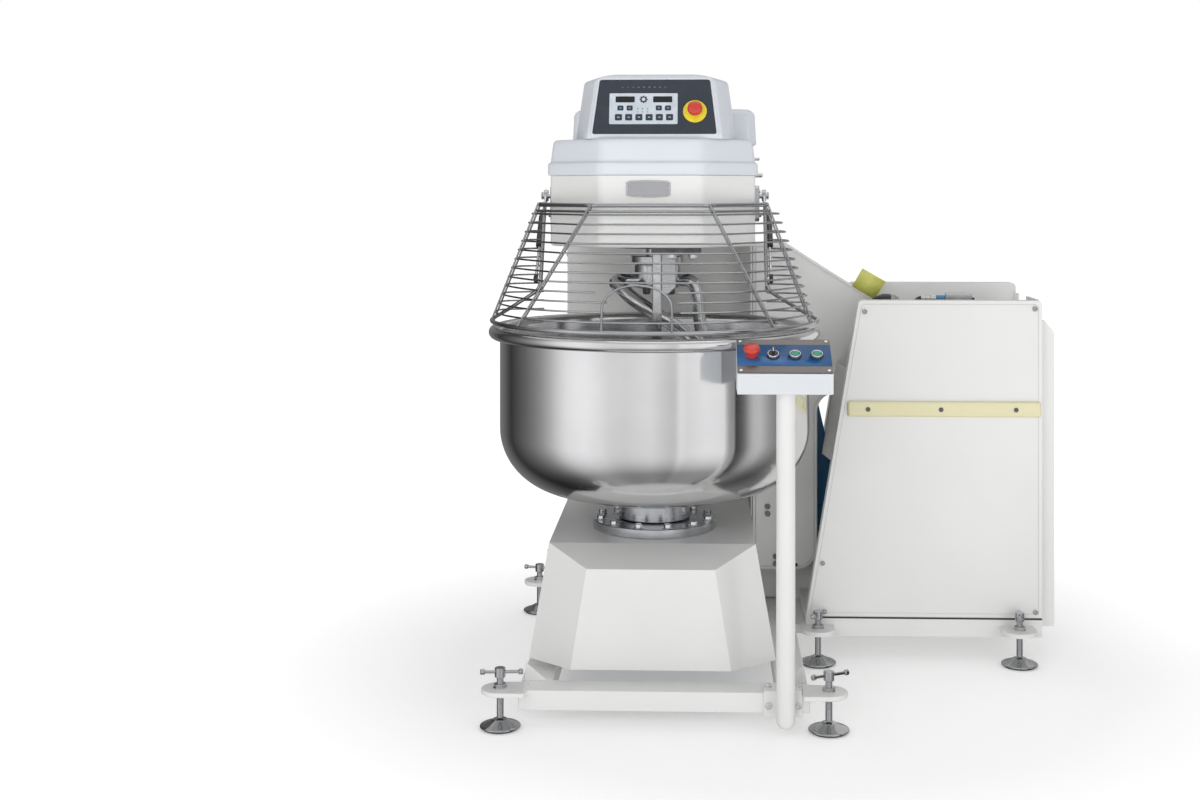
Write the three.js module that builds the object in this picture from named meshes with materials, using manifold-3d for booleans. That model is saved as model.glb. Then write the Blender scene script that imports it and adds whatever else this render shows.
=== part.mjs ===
// Self-tipping spiral dough mixer, in millimetres.
// X runs to the operator's right, Y away from the operator, Z up from the floor.
// Everything is laid out from the bowl's axis, which stands at X = 0, Y = 0.
import * as THREE from 'three';
import { mergeVertices } from 'three/addons/utils/BufferGeometryUtils.js';
import Module from 'manifold-3d';

const wasm = await Module();
wasm.setup();

// ---- driving dimensions ----
const GAP = 0.3;                       // air between pieces that rest on each other
const ROUND = 24;                      // sides of an ordinary round piece
const SMALL_ROUND = 12;                // sides of a small round piece

const BOWL_R = 428;                    // outside of the bowl's upright wall
const BOWL_WALL = 4;
const BOWL_FLOOR_R = 239;
const BOWL_FLOOR_Z = 520;
const BOWL_CORNER_Z = 697;             // where the round lower corner meets the wall
const RIM_R = 442;                     // middle of the rolled rim
const RIM_BEAD = 17;
const RIM_Z = 960;

const DECK_Z = 417;                    // top of the mixer's base
const BASE_HALF = 273;
const BASE_BOTTOM_Z = 112;
const BASE_FRONT_Y = -215;
const COLUMN_HALF = 284;
const COLUMN_FRONT_Y = 472;
const COLUMN_BACK_Y = 690;

const HEAD_Z = 1201;                   // underside of the metal head
const SKIRT_Z = 1388;                  // plastic cover starts here
const SHOULDER_Z = 1483;               // control housing starts here
const TOP_Z = 1659;
const HEAD_FACET = 130;                // half width of the head's front facet
const HEAD_FRONT_Y = -330;
const HEAD_CORNER_Y = -180;
const PANEL_TILT = 20;                 // degrees the control panel leans back

const SPIRAL_Y = 250;                  // the spiral's axis behind the bowl's axis
const SPIRAL_R = 128;
const SPIRAL_BAR = 19;

const PIVOT = { x: 960, z: 800 };      // tilting shaft, parallel to Y
const SHAFT_R = 40;
const ARM = { front: 366, back: 466, wall: 10, left: COLUMN_HALF + GAP, right: 479, low: 208, corner: 64, hubR: 92 };
const GEAR = { module: 8, teeth: 25, front: 250, back: 310, pressure: 20, backlash: 0.8 };

const RAIL = { low: 45, high: 95 };
const FRAME = { left: -330, right: 400, front: -430, back: 690 };
const CABINET = { left: 431, leftTop: 580, right: 1105, front: 160, back: 540, low: 125, high: 1033 };

const PAD_R = 50;
const PAD_H = 12;
const SPINDLE_R = 9;

const GUARD_HINGE = { y: 30, z: 1334 };
const GUARD_TOP_Z = 1311;
const GUARD_RING_Z = 992;
const GUARD_RING_R = 450;

const POST = { x: 338, y: -464, r: 23.5, low: 18, high: 848 };
const REMOTE_TILT = 30;                // degrees the remote's face leans back
const REMOTE_PLACE = [333, -540, 904]; // middle of the remote's front-top edge

// ---- colours ----
const finish = (color, roughness, metalness = 0) =>
  new THREE.MeshStandardMaterial({ color, roughness, metalness });
const CREAM = finish(0xe9e8e1, 0.45);
const PLASTIC = finish(0xdfe4ea, 0.4);
const STEEL = finish(0xb9bbbd, 0.28, 1);
const CHROME = finish(0xd5d7d9, 0.1, 1);
const CAST = finish(0x8f9294, 0.5, 1);
const NAVY = finish(0x16203a, 0.35);
const BLUE = finish(0x0b4f7d, 0.45);
const RED = finish(0xc8342c, 0.35);
const GREEN = finish(0x0f8a5f, 0.35);
const BLACK = finish(0x1c1d1f, 0.5);
const RUBBER = finish(0x242424, 0.85);

// ---- solids ----
function solid(geometry) {
  const bare = geometry.clone();
  bare.deleteAttribute('normal');
  bare.deleteAttribute('uv');
  const merged = mergeVertices(bare, 1e-4);
  const triangles = new Uint32Array(merged.index.array);
  const points = merged.attributes.position.array;
  if (signedVolume(points, triangles) < 0) triangles.reverse();
  return new wasm.Manifold(new wasm.Mesh({ numProp: 3, vertProperties: points, triVerts: triangles }));
}

function signedVolume(points, triangles) {
  const corner = (i) => new THREE.Vector3().fromArray(points, triangles[i] * 3);
  let volume = 0;
  for (let i = 0; i < triangles.length; i += 3) {
    volume += corner(i).dot(corner(i + 1).cross(corner(i + 2)));
  }
  return volume;
}

const join = (first, ...others) => others.reduce((whole, piece) => whole.add(piece), first);
const cut = (first, ...others) => others.reduce((whole, piece) => whole.subtract(piece), first);

function box(x, y, z) {
  const geometry = new THREE.BoxGeometry(x[1] - x[0], y[1] - y[0], z[1] - z[0]);
  return solid(geometry.translate((x[0] + x[1]) / 2, (y[0] + y[1]) / 2, (z[0] + z[1]) / 2));
}

const toRad = THREE.MathUtils.degToRad;

const TURN = {
  x: (geometry) => geometry.rotateZ(-Math.PI / 2),
  y: (geometry) => geometry,
  z: (geometry) => geometry.rotateX(Math.PI / 2),
};

// A cylinder or cone along an axis; `from` and `to` are its ends on that axis, and `at` is its centre line.
function rod(axis, r, from, to, at, sides = ROUND, rEnd = r) {
  const geometry = new THREE.CylinderGeometry(rEnd, r, to - from, sides);
  const middle = (from + to) / 2;
  TURN[axis](geometry);
  const place = { x: [middle, at[0], at[1]], y: [at[0], middle, at[1]], z: [at[0], at[1], middle] }[axis];
  return solid(geometry.translate(...place));
}

const sorted = (a, b) => [Math.min(a, b), Math.max(a, b)];

// The radius of a many-sided hole that a round piece of radius r turns in freely.
const boreRadius = (r, sides = ROUND) => (r + GAP) / Math.cos(Math.PI / sides);

// An outline in the X-Z plane, extruded along Y.
function plateXZ(points, y) {
  const shape = new THREE.Shape(points.map(([x, z]) => new THREE.Vector2(x, z)));
  const geometry = new THREE.ExtrudeGeometry(shape, { depth: y[1] - y[0], bevelEnabled: false });
  return solid(geometry.rotateX(Math.PI / 2).translate(0, y[1], 0));
}

// An outline in the X-Y plane, extruded along Z.
function plateXY(points, z) {
  const shape = new THREE.Shape(points.map(([x, y]) => new THREE.Vector2(x, y)));
  const geometry = new THREE.ExtrudeGeometry(shape, { depth: z[1] - z[0], bevelEnabled: false });
  return solid(geometry.translate(0, 0, z[0]));
}

// An outline in the Y-Z plane, extruded along X.
function plateYZ(points, x) {
  const shape = new THREE.Shape(points.map(([y, z]) => new THREE.Vector2(y, z)));
  const geometry = new THREE.ExtrudeGeometry(shape, { depth: x[1] - x[0], bevelEnabled: false });
  return solid(geometry.rotateY(Math.PI / 2).rotateX(Math.PI / 2).translate(x[0], 0, 0));
}

// A straight-sided loft between two outlines with the same number of points.
function loft(low, high) {
  const count = low.length;
  const points = [...low, ...high].flat();
  const triangles = [];
  for (let i = 0; i < count; i += 1) {
    const next = (i + 1) % count;
    triangles.push(i, next, count + next, i, count + next, count + i);
  }
  const flat = THREE.ShapeUtils.triangulateShape(low.map(([x, y, z]) => flatten(low, x, y, z)), []);
  for (const [a, b, c] of flat) triangles.push(a, c, b, count + a, count + b, count + c);
  const geometry = new THREE.BufferGeometry();
  geometry.setAttribute('position', new THREE.Float32BufferAttribute(points, 3));
  geometry.setIndex(triangles);
  return solid(geometry);
}

// Drops the coordinate that all of an outline's points share.
function flatten(outline, x, y, z) {
  const shares = (axis) => outline.every((point) => Math.abs(point[axis] - outline[0][axis]) < 1e-6);
  if (shares(2)) return new THREE.Vector2(x, y);
  return shares(1) ? new THREE.Vector2(x, z) : new THREE.Vector2(y, z);
}

function turned(profile, sides = ROUND) {
  const points = profile.map(([r, z]) => new THREE.Vector2(r, z));
  return solid(new THREE.LatheGeometry(points, sides).rotateX(Math.PI / 2));
}

// A round bar along a curve through points.
function bar(points, r, sides, steps) {
  const path = new THREE.CatmullRomCurve3(points.map((p) => new THREE.Vector3(...p)), false, 'centripetal');
  return swept(path, r, sides, steps);
}

function swept(path, r, sides, steps) {
  const section = new THREE.Shape();
  for (let i = 0; i < sides; i += 1) {
    const angle = ((i + 0.5) / sides) * 2 * Math.PI;
    const point = [r * Math.cos(angle), r * Math.sin(angle)];
    if (i === 0) section.moveTo(...point);
    else section.lineTo(...point);
  }
  section.closePath();
  return solid(new THREE.ExtrudeGeometry(section, { steps, extrudePath: path, bevelEnabled: false }));
}

function straightBar(from, to, r, sides) {
  return swept(new THREE.LineCurve3(new THREE.Vector3(...from), new THREE.Vector3(...to)), r, sides, 1);
}

function arc(cx, cy, r, from, to, steps) {
  return Array.from({ length: steps + 1 }, (_, i) => {
    const angle = toRad(from + ((to - from) * i) / steps);
    return [cx + r * Math.cos(angle), cy + r * Math.sin(angle)];
  });
}

// Joins corners closer than WELD and drops the slivers that leaves, so a cut mesh has no hair-thin faces.
const WELD = 0.05;

function welded(data) {
  const raw = new THREE.BufferGeometry();
  raw.setAttribute('position', new THREE.BufferAttribute(data.vertProperties, 3));
  raw.setIndex(new THREE.BufferAttribute(data.triVerts, 1));
  const geometry = mergeVertices(raw, WELD);
  const kept = [];
  const { array } = geometry.index;
  for (let i = 0; i < array.length; i += 3) {
    const [a, b, c] = array.subarray(i, i + 3);
    if (a !== b && b !== c && c !== a) kept.push(a, b, c);
  }
  geometry.setIndex(kept);
  return geometry;
}

function mesh(name, shape, material, parent, position = [0, 0, 0]) {
  const geometry = welded(shape.getMesh());
  geometry.computeVertexNormals();
  const made = new THREE.Mesh(geometry, material.clone());
  made.name = name;
  made.position.set(...position);
  parent.add(made);
  return made;
}

const mixer = new THREE.Group();

// ---- floor frame ----
const LUG = { r: 48, low: 90, high: 102 };

// A D-shaped lug that reaches sideways from a rail to a levelling foot.
function lug(x, y, railX) {
  const towards = Math.sign(railX - x);
  const edge = towards > 0 ? arc(x, y, LUG.r, 90, 270, 8) : arc(x, y, LUG.r, -90, 90, 8);
  const flat = towards > 0 ? [[railX, y - LUG.r], [railX, y + LUG.r]] : [[railX, y + LUG.r], [railX, y - LUG.r]];
  const plate = plateXY([...edge, ...flat], [LUG.low, LUG.high]);
  return cut(plate, rod('z', boreRadius(SPINDLE_R, SMALL_ROUND), LUG.low - 5, LUG.high + 5, [x, y], SMALL_ROUND));
}

// Each foot's place, the way its tommy bar points in degrees, and that bar's half length.
const FEET = [
  { name: 'front_left', x: -375, y: -430, turn: 4, reach: 40 },
  { name: 'front_right', x: 447, y: -430, turn: 28, reach: 40 },
  { name: 'rear_left', x: -387, y: 640, turn: -12, reach: 40 },
  { name: 'cabinet_front', x: 462, y: 120, turn: 55, reach: 24 },
  { name: 'cabinet_right', x: 1032, y: 120, turn: 80, reach: 24 },
  { name: 'cabinet_rear', x: 1032, y: 590, turn: -60, reach: 24 },
];
const RAIL_WIDE = 80;
const BEAM_DEEP = 85;
const PAD_TOP = PAD_H * 2.6;
const TOMMY = { z: 141, r: 4, knobR: 7 };

function floorFrame(parent) {
  const z = [RAIL.low, RAIL.high];
  const { left, right, front, back } = FRAME;
  const beamBack = front + BEAM_DEEP;
  const beam = box([left, right], [front, beamBack - GAP], z);
  const frontBeam = join(beam, lug(FEET[0].x, FEET[0].y, left + 20), lug(FEET[1].x, FEET[1].y, right - 18));
  mesh('front_beam', frontBeam, CREAM, parent);
  const leftRail = join(
    box([left, left + RAIL_WIDE], [beamBack, back], z),
    lug(FEET[2].x, FEET[2].y, left + 20),
  );
  mesh('left_rail', leftRail, CREAM, parent);
  const rightRail = box([right - RAIL_WIDE, right], [beamBack, back], z);
  const rearRail = box([left + RAIL_WIDE + GAP, right], [back - RAIL_WIDE, back], z);
  mesh('right_and_rear_rail', join(rightRail, rearRail), CREAM, parent);
}

function levellingFeet(parent) {
  for (const foot of FEET) {
    const dome = [
      [0, 0], [PAD_R, 0], [PAD_R, PAD_H * 0.4], [PAD_R * 0.8, PAD_H], [PAD_R * 0.36, PAD_H * 1.9],
      [PAD_R * 0.36, PAD_TOP], [0, PAD_TOP],
    ];
    mesh(`pad_${foot.name}`, turned(dome), CHROME, parent, [foot.x, foot.y, 0]);
    const shank = rod('z', SPINDLE_R, PAD_TOP + GAP, 130, [0, 0], SMALL_ROUND);
    const nut = rod('z', 13.5, 128, 152, [0, 0], SMALL_ROUND);
    const tommy = join(
      rod('x', TOMMY.r, -foot.reach, foot.reach, [0, TOMMY.z], 6),
      rod('x', TOMMY.knobR, -foot.reach - 10, -foot.reach + 2, [0, TOMMY.z], 8),
      rod('x', TOMMY.knobR, foot.reach - 2, foot.reach + 10, [0, TOMMY.z], 8),
    );
    const spindle = mesh(`spindle_${foot.name}`, join(shank, nut, tommy), CHROME, parent, [foot.x, foot.y, 0]);
    spindle.rotation.z = toRad(foot.turn);
  }
}

// ---- cabinet that holds the tilting shaft ----
const SHEET = 3;
const FOLD = 40;                       // depth of the front pan
const REAR_PAN = { deep: 45, high: 1065, narrower: 7 };
const SILL_LOW = 70;
const CABINET_CORNER = 14;

// The left edge of the cabinet leans to the right as it rises.
const cabinetEdge = (z) =>
  CABINET.left + ((CABINET.leftTop - CABINET.left) / (CABINET.high - CABINET.low)) * (z - CABINET.low);

function cabinetOutline(inset, low, high, right = CABINET.right) {
  const edge = (z) => cabinetEdge(z) + inset;
  const corner = CABINET_CORNER;
  return [
    [edge(low + inset), low + inset], [right - inset, low + inset],
    ...arc(right - inset - corner, high - inset - corner, corner, 0, 90, 3),
    ...arc(edge(high - inset) + corner, high - inset - corner, corner, 90, 170, 3),
  ];
}

// A folded sheet-metal pan, closed at its front and open at its back.
function pan(y, low, high, right) {
  const shell = plateXZ(cabinetOutline(0, low, high, right), y);
  return cut(shell, plateXZ(cabinetOutline(SHEET, low, high, right), [y[0] + SHEET, y[1] + 1]));
}

function cabinet(parent) {
  const { left, right, front, back, low } = CABINET;
  const tray = cut(
    box([left, right], [front, back], [SILL_LOW, low - GAP]),
    box([left + 50, right - 50], [front + 50, back - 50], [SILL_LOW - 10, low - SHEET * 2]),
  );
  const tie = box([FRAME.right + GAP, left + 10], [front + 20, back - 20], [SILL_LOW, RAIL.high]);
  const sill = join(tray, tie, ...FEET.slice(3).map(cabinetLug));
  mesh('cabinet_base', sill, CREAM, parent);

  mesh('cabinet_front_panel', pan([front, front + FOLD], low, CABINET.high, right), CREAM, parent);
  // The inner plate carries the front bearing and backs the rack where the pinion presses on it.
  const inset = 8;
  const plateOutline = cabinetOutline(inset, low - inset + GAP, CABINET.high - 10, right);
  const innerPlate = plateXZ(plateOutline, [front + 50, front + 62]);
  const rackGuide = box([RACK.back - 32, RACK.back - 0.8], [front + 60, GEAR.back + 2], [PIVOT.z - 65, PIVOT.z + 65]);
  const bore = rod('y', boreRadius(SHAFT_R), front, 300, [PIVOT.x, PIVOT.z]);
  mesh('cabinet_inner_plate', cut(join(innerPlate, rackGuide, leftReturn()), bore), CREAM, parent);

  const rear = pan([back - REAR_PAN.deep, back], low, REAR_PAN.high, right - REAR_PAN.narrower);
  const rearBore = rod('y', boreRadius(SHAFT_R), back - 60, back + 10, [PIVOT.x, PIVOT.z]);
  mesh('cabinet_rear_panel', cut(rear, rearBore), CREAM, parent);
  mesh('cabinet_right_side', rightSide(), CREAM, parent);
}

function cabinetLug(foot) {
  const { front, back } = CABINET;
  const inFront = foot.y < front;
  const wall = inFront ? front + 20 : back - 20;
  const edge = inFront ? arc(foot.x, foot.y, LUG.r, 180, 360, 8) : arc(foot.x, foot.y, LUG.r, 0, 180, 8);
  const flat = [[foot.x - LUG.r, wall], [foot.x + LUG.r, wall]];
  const plate = plateXY([...edge, ...(inFront ? flat.reverse() : flat)], [LUG.low, LUG.high]);
  const hole = rod('z', boreRadius(SPINDLE_R, SMALL_ROUND), LUG.low - 5, LUG.high + 5, [foot.x, foot.y], SMALL_ROUND);
  return cut(plate, hole);
}

const SIDE_BOX = { out: 1149, low: 90, top: 972, back: 310 };
const SLOT_LOW = 680;

// The right side is slotted from the top, so that the arm can swing over it.
function rightSide() {
  const { right, front, back, low, high } = CABINET;
  const slot = [ARM.front - 12, ARM.back + 12];
  const plate = box([right - SHEET * 2, right], [front + FOLD + GAP, back - REAR_PAN.deep - GAP], [low, high]);
  const { out, low: boxLow, top, back: boxBack } = SIDE_BOX;
  const boxOutline = [
    [right + GAP, boxLow], [out, boxLow], [out, top - 32], [out - 27, top], [right - 1, top], [right - 1, low],
    [right + GAP, low],
  ];
  const sideBox = plateXZ(boxOutline, [front + 45, boxBack]);
  const hollow = box([right - 10, out - SHEET], [front + 48, boxBack - SHEET], [boxLow + 50, top - 37]);
  return cut(join(plate, sideBox), hollow, box([right - 20, right + 60], slot, [SLOT_LOW, high + 10]));
}

// A sheet that closes the cabinet's left side as far back as the arm; it flares a little towards the back.
function leftReturn() {
  const [front, back] = [CABINET.front + 55, ARM.front - 14];
  const flare = 20;
  const ring = (z) => {
    const edge = cabinetEdge(z) + 9;
    return [[edge, front, z], [edge + SHEET, front, z], [edge + SHEET - flare, back, z], [edge - flare, back, z]];
  };
  return loft(ring(560), ring(830));
}

// ---- tilting drive ----
const PITCH_R = (GEAR.module * GEAR.teeth) / 2;
// One flank of an involute tooth, from root to tip, as angles off the tooth's middle.
function toothOutline() {
  const base = PITCH_R * Math.cos(toRad(GEAR.pressure));
  const tip = PITCH_R + GEAR.module;
  const root = PITCH_R - 1.25 * GEAR.module;
  const involute = (r) => Math.tan(Math.acos(Math.min(1, base / r))) - Math.acos(Math.min(1, base / r));
  const half = Math.PI / (2 * GEAR.teeth) - GEAR.backlash / (2 * PITCH_R) + involute(PITCH_R);
  const radii = [base, (base + tip) / 2, tip];
  const flank = radii.map((r) => [r, half - involute(r)]);
  return [[root, half + 0.004], ...flank];
}

function pinion() {
  const outline = [];
  const flank = toothOutline();
  for (let tooth = 0; tooth < GEAR.teeth; tooth += 1) {
    // A gap faces the rack, so the rack's tooth stands in it.
    const middle = Math.PI + ((tooth + 0.5) * 2 * Math.PI) / GEAR.teeth;
    for (const [r, a] of flank) outline.push([r, middle - a]);
    for (const [r, a] of [...flank].reverse()) outline.push([r, middle + a]);
  }
  const points = outline.map(([r, a]) => [PIVOT.x + r * Math.cos(a), PIVOT.z + r * Math.sin(a)]);
  return plateXZ(points, [GEAR.front, GEAR.back]);
}

const TILT_RANGE = 105;                // degrees
const RACK = { x: PIVOT.x - PITCH_R, back: 812, low: 570 };
const CYLINDER = { x: 835, y: 280, r: 45, low: 130, high: 460, stemR: 22, pistonR: 34.4 };
const TOOTH_PITCH = Math.PI * GEAR.module;

function rack() {
  const addendum = GEAR.module;
  const dedendum = 1.25 * GEAR.module;
  const slope = Math.tan(toRad(GEAR.pressure));
  const half = TOOTH_PITCH / 4 - GEAR.backlash / 2;
  const top = PIVOT.z + 1.5 * TOOTH_PITCH;
  const outline = [[RACK.back, RACK.low], [RACK.x - dedendum, RACK.low]];
  const count = Math.round((PITCH_R * toRad(TILT_RANGE)) / TOOTH_PITCH) + 3;
  for (let i = count - 2; i >= -1; i -= 1) {
    const z = PIVOT.z - i * TOOTH_PITCH;
    outline.push(
      [RACK.x - dedendum, z - half - dedendum * slope], [RACK.x + addendum, z - half + addendum * slope],
      [RACK.x + addendum, z + half - addendum * slope], [RACK.x - dedendum, z + half + dedendum * slope],
    );
  }
  outline.push([RACK.x - dedendum, top], [RACK.back, top]);
  const body = plateXZ(outline, [GEAR.front + 2, GEAR.back - 2]);
  const { x, y, stemR, pistonR } = CYLINDER;
  const stem = rod('z', stemR, 220, RACK.low + 5, [x, y]);
  const piston = rod('z', pistonR, 205, 225, [x, y]);
  return join(body, stem, piston);
}

function liftCylinder() {
  const { x, y, r, low, high, stemR, pistonR } = CYLINDER;
  const barrel = rod('z', r, low, high, [x, y]);
  const foot = box([x - 60, x + 60], [y - 55, y + 55], [CABINET.low, CABINET.low + 18]);
  const port = rod('x', 12, x - 62, x - 30, [y, 200], SMALL_ROUND);
  const chamber = rod('z', boreRadius(pistonR), low + 40, high - 35, [x, y]);
  const gland = rod('z', boreRadius(stemR), high - 60, high + 5, [x, y]);
  return cut(join(barrel, foot, port), chamber, gland);
}

function tiltingDrive(parent) {
  const at = [PIVOT.x, PIVOT.z];
  const shaft = join(rod('y', SHAFT_R, 200, 532, at), pinion());
  mesh('tilt_shaft', shaft, CAST, parent.tilting);
  mesh('tilt_rack', rack(), STEEL, parent.fixed);
  mesh('lift_cylinder', liftCylinder(), BLACK, parent.fixed);
  for (const [name, y, face] of [['front', 222 + GAP, 1], ['rear', CABINET.back - REAR_PAN.deep - GAP, -1]]) {
    const flange = sorted(y, y + face * 8);
    const boss = sorted(y, y + face * (face > 0 ? 22 : 18));
    const housing = cut(
      join(rod('y', 88, ...flange, at), rod('y', 66, ...boss, at)),
      rod('y', boreRadius(SHAFT_R), y - 40, y + 40, at),
    );
    mesh(`shaft_bearing_${name}`, housing, CAST, parent.fixed);
  }
}

// ---- hydraulic power unit, with its cover close behind the arm ----
function powerUnit(parent) {
  const low = CABINET.low;
  const outside = [[300, 128], [620, 128], [486, 712], [300, 712]];
  const inside = [[305, 134], [608, 134], [481, 706], [305, 706]];
  const y = [ARM.back + 8, ARM.back + 26];
  const shell = cut(plateXZ(outside, y), plateXZ(inside, [y[0] + SHEET, y[1] + 1]));
  const foot = box([325, 395], y, [RAIL.high + GAP, 130]);
  mesh('power_unit_cover', join(shell, foot), BLUE, parent);
  const reservoir = cut(
    box([590, 770], [300, 440], [low, 330]),
    box([594, 766], [304, 436], [low + 4, 326]),
    rod('z', 14, 300, 340, [612, 330], SMALL_ROUND),
  );
  const motor = join(rod('z', 58, 325, 345, [690, 370]), rod('z', 50, 340, 520, [690, 370]));
  mesh('hydraulic_power_unit', join(reservoir, motor), CAST, parent);
}

// ---- remote control on its post ----
function remoteControl(parent) {
  const { x, y, r, low, high } = POST;
  const tube = join(rod('z', r, low + r, high, [x, y]), ballEnd(x, y, low + r, r));
  const across = [285, 381];
  const top = RAIL.high + 7;
  const bracket = join(
    box(across, [FRAME.front - 8, FRAME.front - GAP], [38, top]),
    box(across, [FRAME.front - 8, FRAME.front + 55], [RAIL.high + GAP, top]),
  );
  const saddle = box([x - 18, x + 18], [y, FRAME.front - GAP], [46, 96]);
  mesh('control_post', join(tube, bracket, saddle), CREAM, parent);
  const group = new THREE.Group();
  group.position.set(...REMOTE_PLACE);
  parent.add(group);
  remoteBox(group);
}

function ballEnd(x, y, z, r) {
  const profile = arc(0, 0, r, -90, 0, 5);
  profile[0] = [0, -r];
  return solidAt(turned([...profile, [0, 0]]), x, y, z);
}

function solidAt(shape, x, y, z) {
  const data = shape.getMesh();
  const geometry = new THREE.BufferGeometry();
  geometry.setAttribute('position', new THREE.BufferAttribute(data.vertProperties, 3));
  geometry.setIndex(new THREE.BufferAttribute(data.triVerts, 1));
  return solid(geometry.translate(x, y, z));
}

const REMOTE = { half: 116.5, front: 50, face: 142, wall: 3 };
const STATIONS = { stop: -80, selector: -27, up: 27, down: 81 };
const PLUG_R = 11;

// The box's front-top edge is the group's origin; its sloping face runs back and up from there.
function remoteBox(group) {
  const tilt = toRad(REMOTE_TILT);
  const { half, front, face: slope, wall } = REMOTE;
  const [backY, backZ] = [slope * Math.cos(tilt), slope * Math.sin(tilt)];
  const shell = plateYZ([[0, -front], [0, 0], [backY, backZ], [backY, -front]], [-half, half]);
  const hollow = plateYZ(
    [[wall, wall - front], [wall, 30], [backY - wall, 90], [backY - wall, wall - front]],
    [wall - half, half - wall],
  );
  mesh('remote_box', cut(shell, hollow), PLASTIC, group);
  const face = new THREE.Group();
  face.rotation.x = tilt;
  group.add(face);
  const middle = slope / 2;
  const places = Object.values(STATIONS).map((x) => [x, middle]);
  const plate = box([0.5 - half, half - 0.5], [2, slope - 2], [GAP, 3]);
  const collars = places.map((at) => rod('z', 15, 2.5, 8, at, SMALL_ROUND));
  const bores = places.map((at) => rod('z', boreRadius(PLUG_R, SMALL_ROUND), -5, 10, at, SMALL_ROUND));
  mesh('remote_faceplate', cut(join(plate, ...collars), ...bores), STEEL, face);
  const plug = (top) => rod('z', PLUG_R, -6, top, [0, 0], SMALL_ROUND);
  const stop = join(plug(22), rod('z', 20, 20, 32, [0, 0], ROUND, 17));
  const knob = join(plug(12), box([-4, 4], [-10, 10], [10, 24]));
  mesh('remote_stop_button', stop, RED, face, [STATIONS.stop, middle, 0]);
  mesh('remote_selector', knob, BLACK, face, [STATIONS.selector, middle, 0]);
  mesh('remote_up_button', plug(12), GREEN, face, [STATIONS.up, middle, 0]);
  mesh('remote_down_button', plug(12), GREEN, face, [STATIONS.down, middle, 0]);
}

// ---- mixer base, column and arm ----
const BOWL_SHAFT_R = 45;
const BEARING = { r: 170, boltRing: 152, bolts: 12 };

function mixerBase(parent) {
  const wall = 6;
  const shell = cut(
    box([-BASE_HALF, BASE_HALF], [BASE_FRONT_Y, COLUMN_FRONT_Y - GAP], [BASE_BOTTOM_Z, DECK_Z]),
    box(
      [wall - BASE_HALF, BASE_HALF - wall], [BASE_FRONT_Y + wall, COLUMN_FRONT_Y - wall],
      [BASE_BOTTOM_Z - 5, DECK_Z - 12],
    ),
    rod('z', boreRadius(BOWL_SHAFT_R), DECK_Z - 30, DECK_Z + 10, [0, 0]),
  );
  // The ear rests on the left rail while the mixer stands upright.
  const earY = [120, 260];
  const ear = join(
    box([-BASE_HALF - 58, -BASE_HALF + 3], earY, [RAIL.high + GAP, RAIL.high + 9]),
    box([-BASE_HALF - 7, -BASE_HALF + 3], earY, [RAIL.high + GAP, 175]),
  );
  mesh('base_housing', join(shell, ear), CREAM, parent);

  const back = frontRing(BASE_FRONT_Y - GAP, BASE_HALF, DECK_Z, 326, BASE_BOTTOM_Z);
  const nose = frontRing(-340, 165, 378, 206, 120);
  const hollowBack = frontRing(BASE_FRONT_Y + 3, BASE_HALF - 6, DECK_Z - 6, 319, BASE_BOTTOM_Z + 6);
  const hollowNose = frontRing(-334, 160, 373, 200, 126);
  mesh('base_front_cover', cut(loft(back, nose), loft(hollowBack, hollowNose)), CREAM, parent);

  const bolts = Array.from({ length: BEARING.bolts }, (_, i) => {
    const angle = ((i + 0.5) / BEARING.bolts) * 2 * Math.PI;
    const at = [BEARING.boltRing * Math.cos(angle), BEARING.boltRing * Math.sin(angle)];
    return rod('z', 11, DECK_Z + 20, DECK_Z + 37, at, 6);
  });
  const flange = cut(
    rod('z', BEARING.r, DECK_Z + GAP, DECK_Z + 25, [0, 0], 32),
    rod('z', boreRadius(BOWL_SHAFT_R), DECK_Z - 5, DECK_Z + 40, [0, 0]),
  );
  mesh('bowl_bearing', join(flange, ...bolts), CAST, parent);
  const gearmotor = join(
    box([-95, 95], [-110, 110], [250, 330]),
    rod('x', 62, 90, 240, [0, 290]),
    rod('z', 70, 325, 344, [0, 0]),
  );
  mesh('bowl_gearmotor', cut(gearmotor, rod('z', boreRadius(30), 300, 350, [0, 0])), BLUE, parent);
}

function frontRing(y, halfTop, top, halfLow, low) {
  return [[-halfLow, y, low], [halfLow, y, low], [halfTop, y, top], [-halfTop, y, top]];
}

function column(parent) {
  const wall = 6;
  const outer = box([-COLUMN_HALF, COLUMN_HALF], [COLUMN_FRONT_Y, COLUMN_BACK_Y], [BASE_BOTTOM_Z, HEAD_Z - GAP]);
  const inner = box(
    [wall - COLUMN_HALF, COLUMN_HALF - wall], [COLUMN_FRONT_Y + wall, COLUMN_BACK_Y - wall],
    [BASE_BOTTOM_Z - 5, HEAD_Z + 5],
  );
  mesh('column', cut(outer, inner), CREAM, parent);
}

// A welded box arm from the column's side to the tilting shaft, open at its back.
function liftArm(parent) {
  const outline = (inset) => {
    const { left, right, hubR } = ARM;
    const corner = ARM.corner;
    return [
      [left + inset, ARM.low + inset],
      ...arc(right - corner, ARM.low + corner, corner - inset, -90, 0, 5),
      [right - inset, 680], ...arc(right + 55, 684, 55 + inset, 180, 90, 4).slice(1),
      [620, 738 + inset], ...arc(PIVOT.x, PIVOT.z, hubR - inset, -85, 95, 10),
      [790, 900 - inset], [652, 1022 - inset], [390, 1188 - inset], [left + inset, 1190 - inset],
    ];
  };
  const { front, back, wall } = ARM;
  const pan = cut(plateXZ(outline(0), [front, back]), plateXZ(outline(wall), [front + wall, back + 5]));
  const hub = rod('y', ARM.hubR - 12, front, back, [PIVOT.x, PIVOT.z]);
  const bore = rod('y', boreRadius(SHAFT_R), front - 5, back + 5, [PIVOT.x, PIVOT.z]);
  mesh('lift_arm', cut(join(pan, hub), bore), CREAM, parent);
}

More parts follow.
